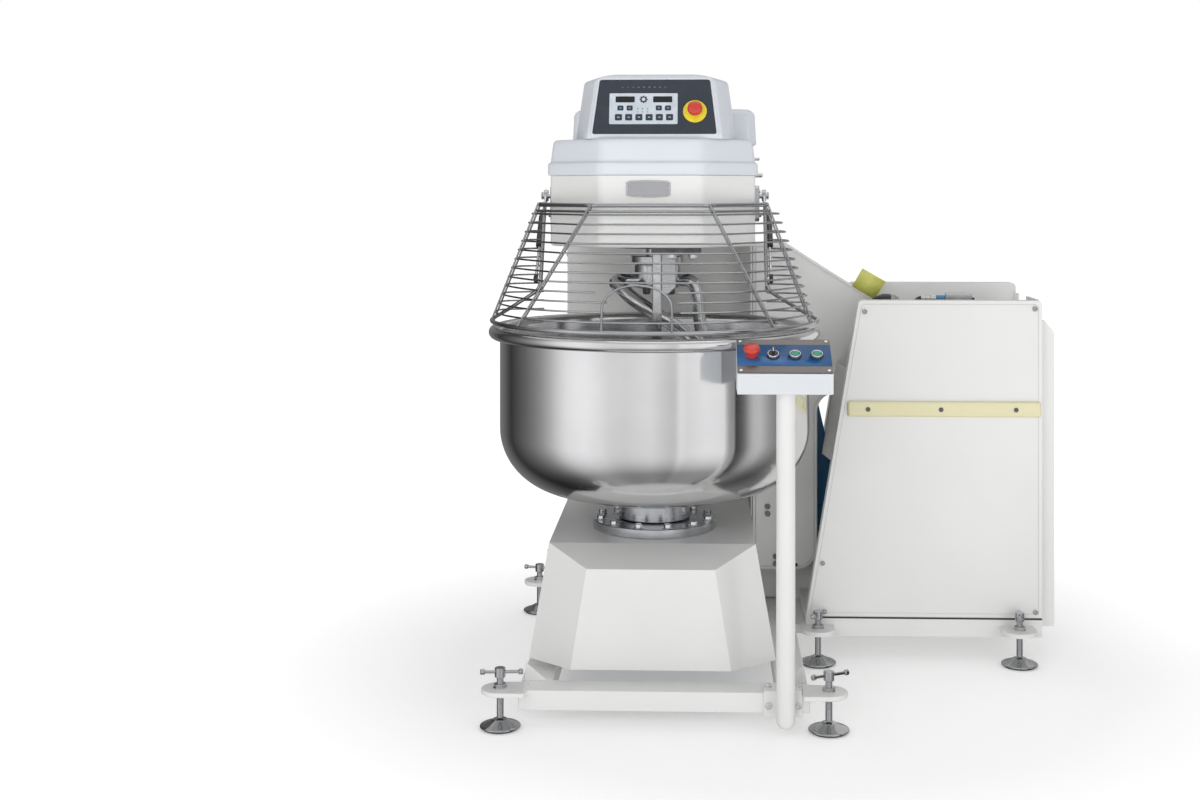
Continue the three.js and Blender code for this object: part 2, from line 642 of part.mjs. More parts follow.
// ---- bowl ----
function bowl(parent) {
  const corner = BOWL_CORNER_Z - BOWL_FLOOR_Z;
  const reach = BOWL_R - BOWL_FLOOR_R;
  const wallAt = (inset) => Array.from({ length: 6 }, (_, i) => {
    const angle = (i / 5) * (Math.PI / 2);
    return [BOWL_FLOOR_R + (reach - inset) * Math.sin(angle), BOWL_CORNER_Z - (corner - inset) * Math.cos(angle)];
  });
  const rim = arc(RIM_R, RIM_Z, RIM_BEAD, -145, 145, 6);
  const profile = [
    [0, BOWL_FLOOR_Z], ...wallAt(0), ...rim,
    [BOWL_R - BOWL_WALL, RIM_Z + 8], ...wallAt(BOWL_WALL).reverse(), [0, BOWL_FLOOR_Z + BOWL_WALL],
  ];
  mesh('bowl', turned(profile, 40), STEEL, parent);
  const hub = turned([
    [0, 320], [30, 320], [30, 395], [BOWL_SHAFT_R, 396], [BOWL_SHAFT_R, DECK_Z + 26], [99, DECK_Z + 27],
    [99, DECK_Z + 83], [135, DECK_Z + 88], [BOWL_FLOOR_R - 2, 508], [BOWL_FLOOR_R - 2, BOWL_FLOOR_Z - GAP], [0, BOWL_FLOOR_Z - GAP],
  ]);
  mesh('bowl_hub', hub, CAST, parent);
}

// ---- spiral hook ----
const HOOK = { top: 1085, low: 565, turns: 1.05, start: 205, taperHeight: 190, taper: 0.66 };
const SPIRAL_NECK_R = 34;

// The helix draws in over its lowest part, to clear the bowl's round corner.
function hookPoint(share) {
  const z = HOOK.top + (HOOK.low - HOOK.top) * share;
  const lowest = Math.max(0, 1 - (z - HOOK.low) / HOOK.taperHeight);
  const r = SPIRAL_R * (1 - HOOK.taper * lowest * lowest);
  const angle = toRad(HOOK.start + 360 * HOOK.turns * share);
  return [r * Math.cos(angle), SPIRAL_Y + r * Math.sin(angle), z];
}

function spiralHook(parent) {
  const steps = 13;
  const path = Array.from({ length: steps + 1 }, (_, i) => hookPoint(i / steps));
  const [startX, startY] = path[0];
  const armZ = HOOK.top + 1;
  const armEnd = [startX * 1.02, SPIRAL_Y + (startY - SPIRAL_Y) * 1.02, armZ];
  const uprightPath = [
    [0, SPIRAL_Y, armZ], [62, SPIRAL_Y - 4, armZ], [104, SPIRAL_Y - 8, 1080], [118, SPIRAL_Y - 10, 1046],
    [129, SPIRAL_Y - 12, 900], [118, SPIRAL_Y - 10, 720], [70, SPIRAL_Y - 4, 612], path[steps],
  ];
  const axis = [0, SPIRAL_Y];
  const hook = join(
    bar(path, SPIRAL_BAR, 6, 26),
    straightBar([0, SPIRAL_Y, armZ], armEnd, SPIRAL_BAR + 1, 8),
    straightBar([startX, startY, armZ + 17], [startX, startY, armZ - 20], SPIRAL_BAR + 1, 8),
    bar(uprightPath, SPIRAL_BAR, 6, 14),
    rod('z', 70, 1062, 1134, axis),
    rod('z', SPIRAL_NECK_R, 1130, 1300, axis),
    rod('z', 78, 1137, 1158, axis),
  );
  mesh('spiral_hook', hook, STEEL, parent);
  mesh('spiral_pulley', pulley(PULLEY_R, SPIRAL_NECK_R, axis), CAST, parent);
}

const BELT = { low: 1306, high: 1346 };
const PULLEY_R = 150;

function pulley(r, bore, at) {
  const z = [BELT.low - 4, BELT.high + 4];
  const rim = r + 7;
  return cut(
    join(
      rod('z', r, BELT.low, BELT.high, at),
      rod('z', rim, z[0], BELT.low + 1, at),
      rod('z', rim, BELT.high - 1, z[1], at),
    ),
    rod('z', bore + GAP, z[0] - 5, z[1] + 5, at),
  );
}

const MOTOR = { x: -90, y: 582, r: 92, shaftR: 19, pulleyR: 48 };

function spiralDrive(bodies) {
  const at = [MOTOR.x, MOTOR.y];
  const motor = cut(
    join(rod('z', MOTOR.r, 900, 1185, at), rod('z', 70, 1180, 1262, at)),
    rod('z', boreRadius(MOTOR.shaftR, SMALL_ROUND), 1240, 1300, at, SMALL_ROUND),
  );
  mesh('spiral_motor', motor, BLUE, bodies.tilting);
  const shaft = rod('z', MOTOR.shaftR, 1245, BELT.high + 2, at, SMALL_ROUND);
  const small = join(pulley(MOTOR.pulleyR, MOTOR.shaftR - 4, at), shaft);
  mesh('motor_pulley', small, CAST, bodies.motor);
  mesh('drive_belt', belt(), RUBBER, bodies.tilting);
}

// The belt's outline: the common outer tangents of two circles and the arcs that they leave.
function beltLoop(extra) {
  const big = { x: 0, y: SPIRAL_Y, r: PULLEY_R + extra };
  const small = { x: MOTOR.x, y: MOTOR.y, r: MOTOR.pulleyR + extra };
  const along = Math.atan2(small.y - big.y, small.x - big.x);
  const distance = Math.hypot(small.y - big.y, small.x - big.x);
  const open = Math.acos((big.r - small.r) / distance);
  const around = THREE.MathUtils.radToDeg(along);
  const half = THREE.MathUtils.radToDeg(open);
  return [
    ...arc(small.x, small.y, small.r, around - half, around + half, 10),
    ...arc(big.x, big.y, big.r, around + half, around + 360 - half, 24),
  ];
}

function belt() {
  const z = [BELT.low + 3, BELT.high - 3];
  return cut(plateXY(beltLoop(6), z), plateXY(beltLoop(1), [z[0] - 1, z[1] + 1]));
}

function breakerBar(parent) {
  const footLow = HEAD_Z - 26;
  const shaft = box([-6, 20], [-12, 12], [552, footLow + 1]);
  const clamp = plateXZ([[18, footLow + 1], [18, 1056], [32, 1056], [60, 1078], [60, footLow + 1]], [-10, 4]);
  const foot = box([-8, 130], [-45, 45], [footLow, HEAD_Z - GAP]);
  const bolts = [[48, -26], [107, -26], [107, 26]].map((at) => rod('z', 13, footLow - 16, footLow + 1, at, 6));
  mesh('breaker_bar', join(shaft, clamp, foot, ...bolts), STEEL, parent);
}

// ---- head ----
const LIP_HIGH = 34;                   // the thicker band along the plastic cover's lower edge

// The head's outline seen from above, grown outwards by `grow`.
function headOutline(grow) {
  const half = BASE_HALF + grow;
  const facet = HEAD_FACET + grow * 0.4;
  return [
    [-half, COLUMN_BACK_Y + grow], [-half, HEAD_CORNER_Y - grow * 0.4], [-facet, HEAD_FRONT_Y - grow],
    [facet, HEAD_FRONT_Y - grow], [half, HEAD_CORNER_Y - grow * 0.4], [half, COLUMN_BACK_Y + grow],
  ];
}

function head(parent) {
  const wall = 6;
  const body = cut(
    plateXY(headOutline(0), [HEAD_Z, SKIRT_Z - GAP]),
    plateXY(headOutline(-wall), [HEAD_Z + 12, SKIRT_Z + 5]),
    rod('z', boreRadius(SPIRAL_NECK_R), HEAD_Z - 5, HEAD_Z + 20, [0, SPIRAL_Y]),
    rod('z', 80, HEAD_Z - 5, HEAD_Z + 20, [MOTOR.x, MOTOR.y]),
  );
  mesh('head_body', body, CREAM, parent);

  const cover = cut(
    join(
      plateXY(headOutline(7), [SKIRT_Z, SKIRT_Z + LIP_HIGH]),
      loft(ringAt(headOutline(0), SKIRT_Z + LIP_HIGH - 1), ringAt(headOutline(-8), SHOULDER_Z)),
    ),
    plateXY(headOutline(-14), [SKIRT_Z - 5, SHOULDER_Z - 4]),
    box([-110, 110], [-180, 60], [SHOULDER_Z - 10, SHOULDER_Z + 5]),
  );
  mesh('head_cover', cover, PLASTIC, parent);
  controlHousing(parent);
}

const ringAt = (outline, z) => outline.map(([x, y]) => [x, y, z]);
const PANEL_Y = -296;                  // the control panel's lower edge
const LEAN = Math.tan(toRad(PANEL_TILT));

const BODY_TOP_Z = 1643;               // the crown starts here
const REAR_BLOCK = { x: [-246, 290], y: [190, 470], top: 1586, wall: 8 };
const PANEL_STOP = { x: 105, up: 74 };
const HOUSING_X = 8;                   // the housing stands a little to the right of the bowl's axis

// The housing's outline at a height: a flat front, two slanting cheeks and straight sides.
function housingRing(z, half, wing, wingY, back) {
  const front = PANEL_Y + (z - SHOULDER_Z) * LEAN;
  const ring = [[-wing, back], [-wing, wingY], [-half, front], [half, front], [wing, wingY], [wing, back]];
  return ring.map(([x, y]) => [HOUSING_X + x, y, z]);
}

function controlHousing(parent) {
  const low = SHOULDER_Z + GAP;
  const core = loft(housingRing(low, 176, 215, -150, 210), housingRing(BODY_TOP_Z, 156, 193, -130, 190));
  const crownRing = (z, shrink) => housingRing(z, 156 - shrink, 193 - shrink, -130 + shrink * 0.6, 190 - shrink);
  const crownTop = crownRing(TOP_Z, 42).map(([x, y, z]) => [x, Math.max(y, -226), z]);
  const crown = loft(crownRing(BODY_TOP_Z - 0.5, 0.2), crownTop);
  const { x, y, top, wall } = REAR_BLOCK;
  const rear = box(x, y, [low, top]);
  const behind = ([px, py, pz]) => [px, py + 14, pz];
  const inside = loft(
    housingRing(low - 5, 160, 198, -140, 240).map(behind),
    housingRing(BODY_TOP_Z - 8, 142, 178, -120, 180).map(behind),
  );
  const insideRear = box([x[0] + wall, x[1] - wall], [y[0] + wall, y[1] - wall], [low - 5, top - wall]);
  mesh('control_housing', cut(join(core, crown, rear), inside, insideRear), PLASTIC, parent);
  controlPanel(parent);
}

function controlPanel(parent) {
  const panel = new THREE.Group();
  panel.position.set(HOUSING_X, PANEL_Y, SHOULDER_Z);
  panel.rotation.x = -toRad(PANEL_TILT);
  parent.add(panel);
  const at = [PANEL_STOP.x, PANEL_STOP.up];
  const plate = join(
    plateXZ([[-161, 12], [161, 12], [144, 165], [-144, 165]], [-5, -GAP]),
    rod('y', 31, -9, -4, at),
  );
  mesh('control_panel', cut(plate, rod('y', boreRadius(12), -20, 5, at)), NAVY, panel);
  const button = join(rod('y', 12, -24, -6, [0, 0]), rod('y', 19.5, -36, -22, [0, 0]));
  mesh('panel_stop_button', button, RED, panel, [PANEL_STOP.x, 0, PANEL_STOP.up]);
}

// ---- guard ----
const GUARD_HALF = 305;
const GUARD_TOP = [
  [-GUARD_HALF, 0], [-GUARD_HALF, -175], [-146, -364], [146, -364], [GUARD_HALF, -175], [GUARD_HALF, 0],
];
const RING_STATIONS = [180, 190, 219, 315, 341, 358];     // where the ribs meet the ring, in degrees

// A point on a rib: level 0 is the guard's top bar and level 1 is its ring.
function guardStation(index, level) {
  const [tx, ty] = GUARD_TOP[index];
  const angle = toRad(RING_STATIONS[index]);
  const bottom = [GUARD_RING_R * Math.cos(angle), GUARD_RING_R * Math.sin(angle)];
  return [
    tx + (bottom[0] - tx) * level, ty + (bottom[1] - ty) * level,
    GUARD_TOP_Z + (GUARD_RING_Z - GUARD_TOP_Z) * level,
  ];
}

function guardWire(level, r) {
  const points = [0, 1, 2, 3, 4, 5].map((i) => guardStation(i, level));
  const front = guardStation(2, level)[1] * (1 - level) - GUARD_RING_R * level;
  points.splice(3, 0, [0, Math.min(front, guardStation(2, level)[1] - 0.5), points[2][2]]);
  return bar(points, r, level > 0 ? 4 : 6, level > 0 ? 12 : 18);
}

function guard(parent) {
  const levels = [1 / 4, 2 / 4, 3 / 4];
  const wires = levels.map((level) => guardWire(level, 3));
  const ribs = [1, 2, 3, 4].map((i) => guardRib(i));
  const sides = [-1, 1].map(guardSideArm);
  mesh('guard', join(guardWire(0, 7), guardWire(1, 6), ...wires, ...ribs, ...sides), STEEL, parent);
}

const STRUT = { x: 318, studEnd: 326, top: { y: 62, z: 1283 }, eye: { y: -118, z: 1110 } };
const STUD_R = 5;
const PIN_R = 8;
const EYE_CLEAR = 3;                   // radial room at the strut's open lower pivot

// The ribs lie just inside the wires that are welded to them.
function guardRib(index) {
  const inside = ([x, y, z]) => [x * 0.9925, y * 0.9885 + 0.7, z + 0.9];
  return straightBar(inside(guardStation(index, -0.012)), inside(guardStation(index, 1.004)), 5, 4);
}

// A flat bar from the hinge down to the ring's end; it carries the gas strut's lower stud.
function guardSideArm(side) {
  const { y, z } = GUARD_HINGE;
  const end = guardStation(side > 0 ? 5 : 0, 1);
  const x = side * GUARD_HALF;
  const knee = [side * (GUARD_HALF + 1), -126, 1082];
  const heel = [side * 385, -80, 1032];
  const bossX = sorted(x - side * 5, x + side * 7);
  return cut(
    join(
      rod('x', 16, ...bossX, [y, z], SMALL_ROUND),
      bar([[x, y, z], [x, -20, GUARD_TOP_Z - 10], knee, heel, end], 7, 4, 12),
      rod('x', STUD_R, ...sorted(side * (GUARD_HALF - 1), side * STRUT.studEnd), [STRUT.eye.y, STRUT.eye.z], SMALL_ROUND),
    ),
    rod('x', boreRadius(PIN_R, SMALL_ROUND), bossX[0] - 4, bossX[1] + 4, [y, z], SMALL_ROUND),
  );
}

function guardBracket(side, parent) {
  const near = side * (BASE_HALF + GAP);
  const plate = box(sorted(near, side * (BASE_HALF + 18)), [0, 95], [1262, 1362]);
  const root = near + side * 2;
  const pin = rod('x', PIN_R, ...sorted(root, side * STRUT.x), [GUARD_HINGE.y, GUARD_HINGE.z], SMALL_ROUND);
  const stud = rod('x', STUD_R, ...sorted(root, side * STRUT.studEnd), [STRUT.top.y, STRUT.top.z], SMALL_ROUND);
  mesh(`guard_bracket_${side > 0 ? 'right' : 'left'}`, join(plate, pin, stud), STEEL, parent);
}

function gasStrut(side, bodies) {
  const name = side > 0 ? 'right' : 'left';
  const dy = STRUT.eye.y - STRUT.top.y;
  const dz = STRUT.eye.z - STRUT.top.z;
  const length = Math.hypot(dy, dz);
  const holder = new THREE.Group();
  holder.position.set(side * STRUT.x, STRUT.top.y, STRUT.top.z);
  holder.rotation.x = Math.atan2(dy, -dz);
  bodies.add(holder);
  const eye = (z, r) => cut(rod('x', 13, -5, 5, [0, z], SMALL_ROUND), rod('x', r, -9, 9, [0, z], SMALL_ROUND));
  const tube = cut(
    join(rod('z', 10, -130, -7, [0, 0], SMALL_ROUND), rod('x', 12, -5, 5, [0, 0], SMALL_ROUND)),
    rod('x', boreRadius(STUD_R, SMALL_ROUND), -9, 9, [0, 0], SMALL_ROUND),
    rod('z', boreRadius(4, 12), -135, -22, [0, 0], 12),
  );
  mesh(`strut_tube_${name}`, tube, BLACK, holder);
  const piston = join(rod('z', 4, -length + 10, -40, [0, 0], 12), eye(-length, STUD_R + EYE_CLEAR));
  mesh(`strut_rod_${name}`, piston, CHROME, holder);
}

function build() {
  const fixed = new THREE.Group();
  const tilting = new THREE.Group();
  mixer.add(fixed, tilting);
  floorFrame(fixed);
  levellingFeet(fixed);
  cabinet(fixed);
  tiltingDrive({ fixed, tilting });
  powerUnit(fixed);
  remoteControl(fixed);
  mixerBase(tilting);
  column(tilting);
  liftArm(tilting);
  bowl(tilting);
  spiralHook(tilting);
  spiralDrive({ tilting, motor: tilting });
  breakerBar(tilting);
  head(tilting);
  guard(tilting);
  for (const side of [-1, 1]) {
    guardBracket(side, tilting);
    gasStrut(side, tilting);
  }
}

build();

// The finished model stands on the floor, centred under its own box.
const size = new THREE.Box3().setFromObject(mixer);
const centre = size.getCenter(new THREE.Vector3());
mixer.position.set(-centre.x, -centre.y, -size.min.z);

export default mixer;
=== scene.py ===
"""Looks of the self-tipping spiral dough mixer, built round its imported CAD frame.

Sizes are in metres.  `at` takes millimetres measured from the bowl's axis on the
floor: X to the operator's right, Y away from the operator, Z up.
"""
import math

import bmesh
import bpy
from mathutils import Matrix, Vector


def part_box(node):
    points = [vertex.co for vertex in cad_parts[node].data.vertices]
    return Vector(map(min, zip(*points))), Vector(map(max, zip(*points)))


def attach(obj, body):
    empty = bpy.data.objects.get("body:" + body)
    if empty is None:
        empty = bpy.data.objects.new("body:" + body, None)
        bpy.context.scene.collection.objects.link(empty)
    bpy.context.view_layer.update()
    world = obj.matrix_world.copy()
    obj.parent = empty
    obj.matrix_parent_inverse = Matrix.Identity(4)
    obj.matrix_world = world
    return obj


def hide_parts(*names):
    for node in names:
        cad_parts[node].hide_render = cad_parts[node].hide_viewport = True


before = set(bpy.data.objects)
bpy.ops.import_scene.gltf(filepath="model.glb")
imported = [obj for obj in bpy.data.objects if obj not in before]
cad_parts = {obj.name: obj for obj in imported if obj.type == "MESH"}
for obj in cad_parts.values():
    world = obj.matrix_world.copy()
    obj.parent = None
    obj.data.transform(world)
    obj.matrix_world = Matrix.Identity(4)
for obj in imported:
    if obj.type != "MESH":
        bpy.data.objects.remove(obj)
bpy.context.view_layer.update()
MM = 0.001
TAU = 2 * math.pi


def middle(node):
    low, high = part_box(node)
    return (low + high) / 2


BOWL_AXIS = Vector((middle("bowl").x, middle("bowl").y, 0))


def at(x, y, z):
    return BOWL_AXIS + Vector((x, y, z)) * MM


FORWARD, BACKWARD = (0, -1, 0), (0, 1, 0)
SIDES = ((-1, "left"), (1, "right"))


# ---- materials ----
class Shader:
    """A material under construction: a principled shader and what feeds it."""

    def __init__(self, name, color, roughness, metallic=0.0, **sockets):
        self.material = bpy.data.materials.new(name)
        self.material.use_nodes = True
        self.tree = self.material.node_tree
        self.shader = self.tree.nodes["Principled BSDF"]
        self.color = (*color, 1)
        self.rough = roughness
        self.set("Base Color", self.color)
        self.set("Roughness", roughness)
        self.set("Metallic", metallic)
        for socket, value in sockets.items():
            self.set(socket.replace("_", " "), value)
        self.position = self.node("ShaderNodeTexCoord").outputs["Object"]
        self.normal = None

    def set(self, socket, value):
        self.shader.inputs[socket].default_value = value

    def node(self, kind, **settings):
        made = self.tree.nodes.new(kind)
        for key, value in settings.items():
            setattr(made, key, value)
        return made

    def link(self, output, socket):
        self.tree.links.new(output, socket)

    def math(self, operation, a, b=None):
        made = self.node("ShaderNodeMath", operation=operation)
        for index, value in enumerate((a, b)):
            if value is None:
                continue
            if isinstance(value, (int, float)):
                made.inputs[index].default_value = value
            else:
                self.link(value, made.inputs[index])
        return made.outputs[0]

    def stretched(self, scale):
        mapping = self.node("ShaderNodeMapping")
        mapping.inputs["Scale"].default_value = scale
        self.link(self.position, mapping.inputs["Vector"])
        return mapping.outputs[0]

    def around(self, centre, turns, rise):
        """Coordinates that wrap round a vertical axis, for turned and spun surfaces."""
        shifted = self.node("ShaderNodeVectorMath", operation="SUBTRACT")
        shifted.inputs[1].default_value = centre
        self.link(self.position, shifted.inputs[0])
        split = self.node("ShaderNodeSeparateXYZ")
        self.link(shifted.outputs[0], split.inputs[0])
        angle = self.math("ARCTAN2", split.outputs[1], split.outputs[0])
        squares = [self.math("MULTIPLY", split.outputs[i], split.outputs[i]) for i in (0, 1)]
        radius = self.math("SQRT", self.math("ADD", *squares))
        joined = self.node("ShaderNodeCombineXYZ")
        self.link(self.math("MULTIPLY", angle, turns), joined.inputs[0])
        self.link(self.math("MULTIPLY", radius, rise), joined.inputs[1])
        self.link(self.math("MULTIPLY", split.outputs[2], rise), joined.inputs[2])
        return joined.outputs[0]

    def noise(self, scale, detail=3.0, vector=None, distortion=0.0):
        made = self.node("ShaderNodeTexNoise")
        made.inputs["Scale"].default_value = scale
        made.inputs["Detail"].default_value = detail
        made.inputs["Distortion"].default_value = distortion
        self.link(vector or self.position, made.inputs["Vector"])
        return made.outputs["Fac"]

    def remap(self, value, low, high, start=0.3, end=0.7):
        made = self.node("ShaderNodeMapRange")
        for socket, number in (("From Min", start), ("From Max", end), ("To Min", low), ("To Max", high)):
            made.inputs[socket].default_value = number
        self.link(value, made.inputs["Value"])
        return made.outputs[0]

    def vary_color(self, value, shade, start=0.35, end=0.65):
        """Mixes the base colour with `shade` times itself where the value is high."""
        mix = self.node("ShaderNodeMix", data_type="RGBA")
        mix.inputs["A"].default_value = self.color
        mix.inputs["B"].default_value = (*[c * s for c, s in zip(self.color, shade)], 1)
        self.link(self.remap(value, 0, 1, start, end), mix.inputs["Factor"])
        self.link(mix.outputs["Result"], self.shader.inputs["Base Color"])

    def vary_roughness(self, value, spread):
        self.link(self.remap(value, self.rough - spread, self.rough + spread), self.shader.inputs["Roughness"])

    def bump(self, value, strength, distance):
        made = self.node("ShaderNodeBump")
        made.inputs["Strength"].default_value = strength
        made.inputs["Distance"].default_value = distance
        self.link(value, made.inputs["Height"])
        if self.normal:
            self.link(self.normal, made.inputs["Normal"])
        self.normal = made.outputs[0]
        self.link(self.normal, self.shader.inputs["Normal"])


def finish(name, color, roughness, tint, gloss, bumps, metallic=0.0, **sockets):
    """A surface without direction: cloudy colour, uneven gloss and fine relief, all from noise.

    `tint` and `gloss` are (noise scale, detail, change); a bump is (noise scale, detail, strength, depth).
    """
    made = Shader(name, color, roughness, metallic, **sockets)
    made.vary_color(made.noise(*tint[:2]), tint[2])
    made.vary_roughness(made.noise(*gloss[:2]), gloss[2])
    for scale, detail, strength, depth in bumps:
        made.bump(made.noise(scale, detail), strength, depth)
    return made.material


def powder_coat(name, color, roughness=0.36):
    """Powder coat: fine orange peel, slight cloudiness and a film of flour dust in places."""
    return finish(
        name, color, roughness, (2.2, 5, (0.955, 0.955, 0.945)), (9, 4, 0.05),
        [(520, 2, 0.10, 0.0006), (38, 3, 0.06, 0.0012)], Coat_Weight=0.25, Coat_Roughness=0.22,
    )


def moulded_plastic(name, color, roughness=0.34):
    """Vacuum-formed plastic: soft gloss, faint sink waves and a fine grain."""
    return finish(
        name, color, roughness, (3, 3, (0.97, 0.975, 0.985)), (14, 3, 0.05),
        [(900, 2, 0.07, 0.0004), (7, 2, 0.12, 0.004)],
        Coat_Weight=0.15, Coat_Roughness=0.3, Subsurface_Weight=0.04,
    )


def spun_steel(name, centre, color=(0.80, 0.80, 0.80), roughness=0.13):
    """Stainless sheet spun and polished round a vertical axis."""
    made = Shader(name, color, roughness, 1.0, Anisotropic=0.6, Anisotropic_Rotation=0.25)
    lines = made.noise(1.0, 6, made.around(centre, 1.2, 900))
    made.vary_color(made.noise(5, 4), (0.93, 0.93, 0.935))
    made.vary_roughness(lines, 0.07)
    made.bump(lines, 0.10, 0.0004)
    tangent = made.node("ShaderNodeTangent", direction_type="RADIAL", axis="Z")
    made.link(tangent.outputs[0], made.shader.inputs["Tangent"])
    return made.material


def brushed_steel(name, stretch=(30, 900, 900), color=(0.6, 0.605, 0.61), roughness=0.28):
    """Stainless sheet or bar with straight brush lines."""
    made = Shader(name, color, roughness, 1.0)
    lines = made.noise(1.0, 5, made.stretched(stretch))
    made.vary_color(made.noise(6, 4), (0.9, 0.9, 0.91))
    made.vary_roughness(lines, 0.08)
    made.bump(lines, 0.12, 0.0003)
    return made.material


def forged_steel(name, color=(0.56, 0.565, 0.575), roughness=0.15):
    """A forged and hand-polished casting: low waves, scattered pits, worn bright patches."""
    made = Shader(name, color, roughness, 1.0)
    made.vary_color(made.noise(12, 6, distortion=0.6), (1.25, 1.25, 1.24))
    made.vary_roughness(made.noise(26, 5), 0.09)
    made.bump(made.noise(34, 4, distortion=0.4), 0.22, 0.0016)
    made.bump(made.noise(420, 3), 0.08, 0.0004)
    return made.material


def machined_steel(name, centre, color=(0.62, 0.63, 0.645), roughness=0.24):
    """Turned steel with fine tool rings and a light grey bloom."""
    made = Shader(name, color, roughness, 1.0)
    rings = made.noise(1.0, 4, made.around(centre, 0.6, 1400))
    made.vary_color(made.noise(16, 5), (0.8, 0.81, 0.83))
    made.vary_roughness(rings, 0.08)
    made.bump(rings, 0.16, 0.0004)
    return made.material


def chrome(name, color=(0.82, 0.825, 0.83)):
    return finish(
        name, color, 0.08, (22, 4, (0.88, 0.88, 0.89)), (60, 4, 0.04), [(48, 2, 0.05, 0.0006)], metallic=1.0,
    )


def cast_metal(name, color=(0.28, 0.285, 0.3), roughness=0.5):
    return finish(
        name, color, roughness, (30, 6, (0.7, 0.7, 0.7)), (70, 4, 0.12), [(240, 4, 0.35, 0.0012)], metallic=0.85,
    )


def enamel(name, color, roughness=0.3):
    return finish(
        name, color, roughness, (5, 5, (0.82, 0.86, 0.9)), (20, 4, 0.07), [(300, 2, 0.12, 0.0007)],
        Coat_Weight=0.4, Coat_Roughness=0.12,
    )


def gloss_plastic(name, color, roughness=0.22):
    return finish(
        name, color, roughness, (40, 3, (0.88, 0.88, 0.88)), (90, 3, 0.05), [(700, 2, 0.05, 0.0003)],
        Coat_Weight=0.3, Coat_Roughness=0.1,
    )


def rubber(name, color=(0.025, 0.025, 0.027)):
    return finish(name, color, 0.62, (30, 5, (1.8, 1.8, 1.8)), (60, 3, 0.1), [(500, 3, 0.3, 0.0006)])


CREAM = powder_coat("cream_powder_coat", (0.775, 0.775, 0.768))
# The cream paint made darker as painted shade, for hollows, grooves, seams and undersides.
CREAM_SHADED = powder_coat("cream_painted_shade", (0.64, 0.635, 0.61), 0.42)
PLASTIC = moulded_plastic("blue_white_plastic", (0.66, 0.685, 0.735))
PLASTIC_GREY = moulded_plastic("remote_plastic", (0.66, 0.675, 0.705))
BOWL_STEEL = spun_steel("spun_stainless", BOWL_AXIS)
WIRE_STEEL = brushed_steel("polished_wire", (200, 200, 200), (0.50, 0.505, 0.515), 0.13)
SHEET_STEEL = brushed_steel("brushed_sheet")
SATIN_PLATE = brushed_steel("satin_plate", (900, 30, 900), (0.20, 0.185, 0.175), 0.34)
FORGED = forged_steel("polished_forging")
TURNED = machined_steel("turned_steel", BOWL_AXIS)
CHROME = chrome("bright_chrome")
ZINC = chrome("plated_steel", (0.50, 0.505, 0.515))
DARK_STEEL = cast_metal("dark_steel", (0.20, 0.2, 0.21), 0.42)
CAST_IRON = cast_metal("cast_iron")
BLUE = enamel("blue_enamel", (0.003, 0.15, 0.33))
LIGHT_BLUE = enamel("blue_band", (0.05, 0.22, 0.42))
NAVY = gloss_plastic("navy_overlay", (0.024, 0.032, 0.05), 0.34)
KEYPAD = gloss_plastic("keypad_membrane", (0.60, 0.66, 0.72), 0.34)
KEY_INK = gloss_plastic("key_caps", (0.02, 0.032, 0.06), 0.36)
DISPLAY = gloss_plastic("display_window", (0.006, 0.006, 0.008), 0.12)
RED = gloss_plastic("signal_red", (0.60, 0.045, 0.03), 0.28)
YELLOW = gloss_plastic("signal_yellow", (0.86, 0.70, 0.03), 0.3)
GREEN = gloss_plastic("signal_green", (0.0, 0.26, 0.15), 0.24)
# White for the selector lever's top strip: a painted highlight.
LEVER_HIGHLIGHT = gloss_plastic("white_plastic", (0.82, 0.82, 0.82), 0.3)
REMOTE_BLUE = enamel("remote_blue_film", (0.012, 0.12, 0.33), 0.34)
BLACK = enamel("black_paint", (0.014, 0.014, 0.016), 0.32)
BLACK_PLASTIC = moulded_plastic("black_plastic", (0.02, 0.02, 0.022), 0.4)
RUBBER = rubber("black_rubber")
BUMPER = moulded_plastic("cream_bumper", (0.76, 0.71, 0.45), 0.42)
TAPE = gloss_plastic("green_tape", (0.74, 0.74, 0.17), 0.2)


# ---- mesh tools ----
def show(obj, body, replaces=()):
    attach(obj, body)
    if replaces:
        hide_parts(*replaces)
    return obj


def mesh_object(name, bm, material):
    mesh = bpy.data.meshes.new(name)
    bmesh.ops.recalc_face_normals(bm, faces=bm.faces)
    bm.to_mesh(mesh)
    bm.free()
    obj = bpy.data.objects.new(name, mesh)
    bpy.context.scene.collection.objects.link(obj)
    mesh.materials.append(material)
    for face in mesh.polygons:
        face.use_smooth = True
    return obj


def bevelled(obj, width, segments=3, angle=28):
    """Rounds an object's edges and keeps its flat faces flat."""
    bevel = obj.modifiers.new("round_edges", "BEVEL")
    bevel.width = width * MM
    bevel.segments = segments
    bevel.limit_method = "ANGLE"
    bevel.angle_limit = math.radians(angle)
    bevel.use_clamp_overlap = True
    bevel.harden_normals = False
    normals = obj.modifiers.new("flat_faces", "WEIGHTED_NORMAL")
    normals.keep_sharp = False
    return obj


def ring_faces(bm, first, second):
    count = len(first)
    for i in range(count):
        j = (i + 1) % count
        bm.faces.new((first[i], first[j], second[j], second[i]))


def skinned(name, rings, material, ends="capped"):
    """Joins a row of rings of points by faces; its ends are "capped", "open" or "joined" to each other."""
    bm = bmesh.new()
    rings = [[bm.verts.new(point) for point in ring] for ring in rings]
    following = rings[1:] + (rings[:1] if ends == "joined" else [])
    for first, second in zip(rings, following):
        ring_faces(bm, first, second)
    if ends == "capped":
        bm.faces.new(rings[0])
        bm.faces.new(rings[-1])
    return mesh_object(name, bm, material)


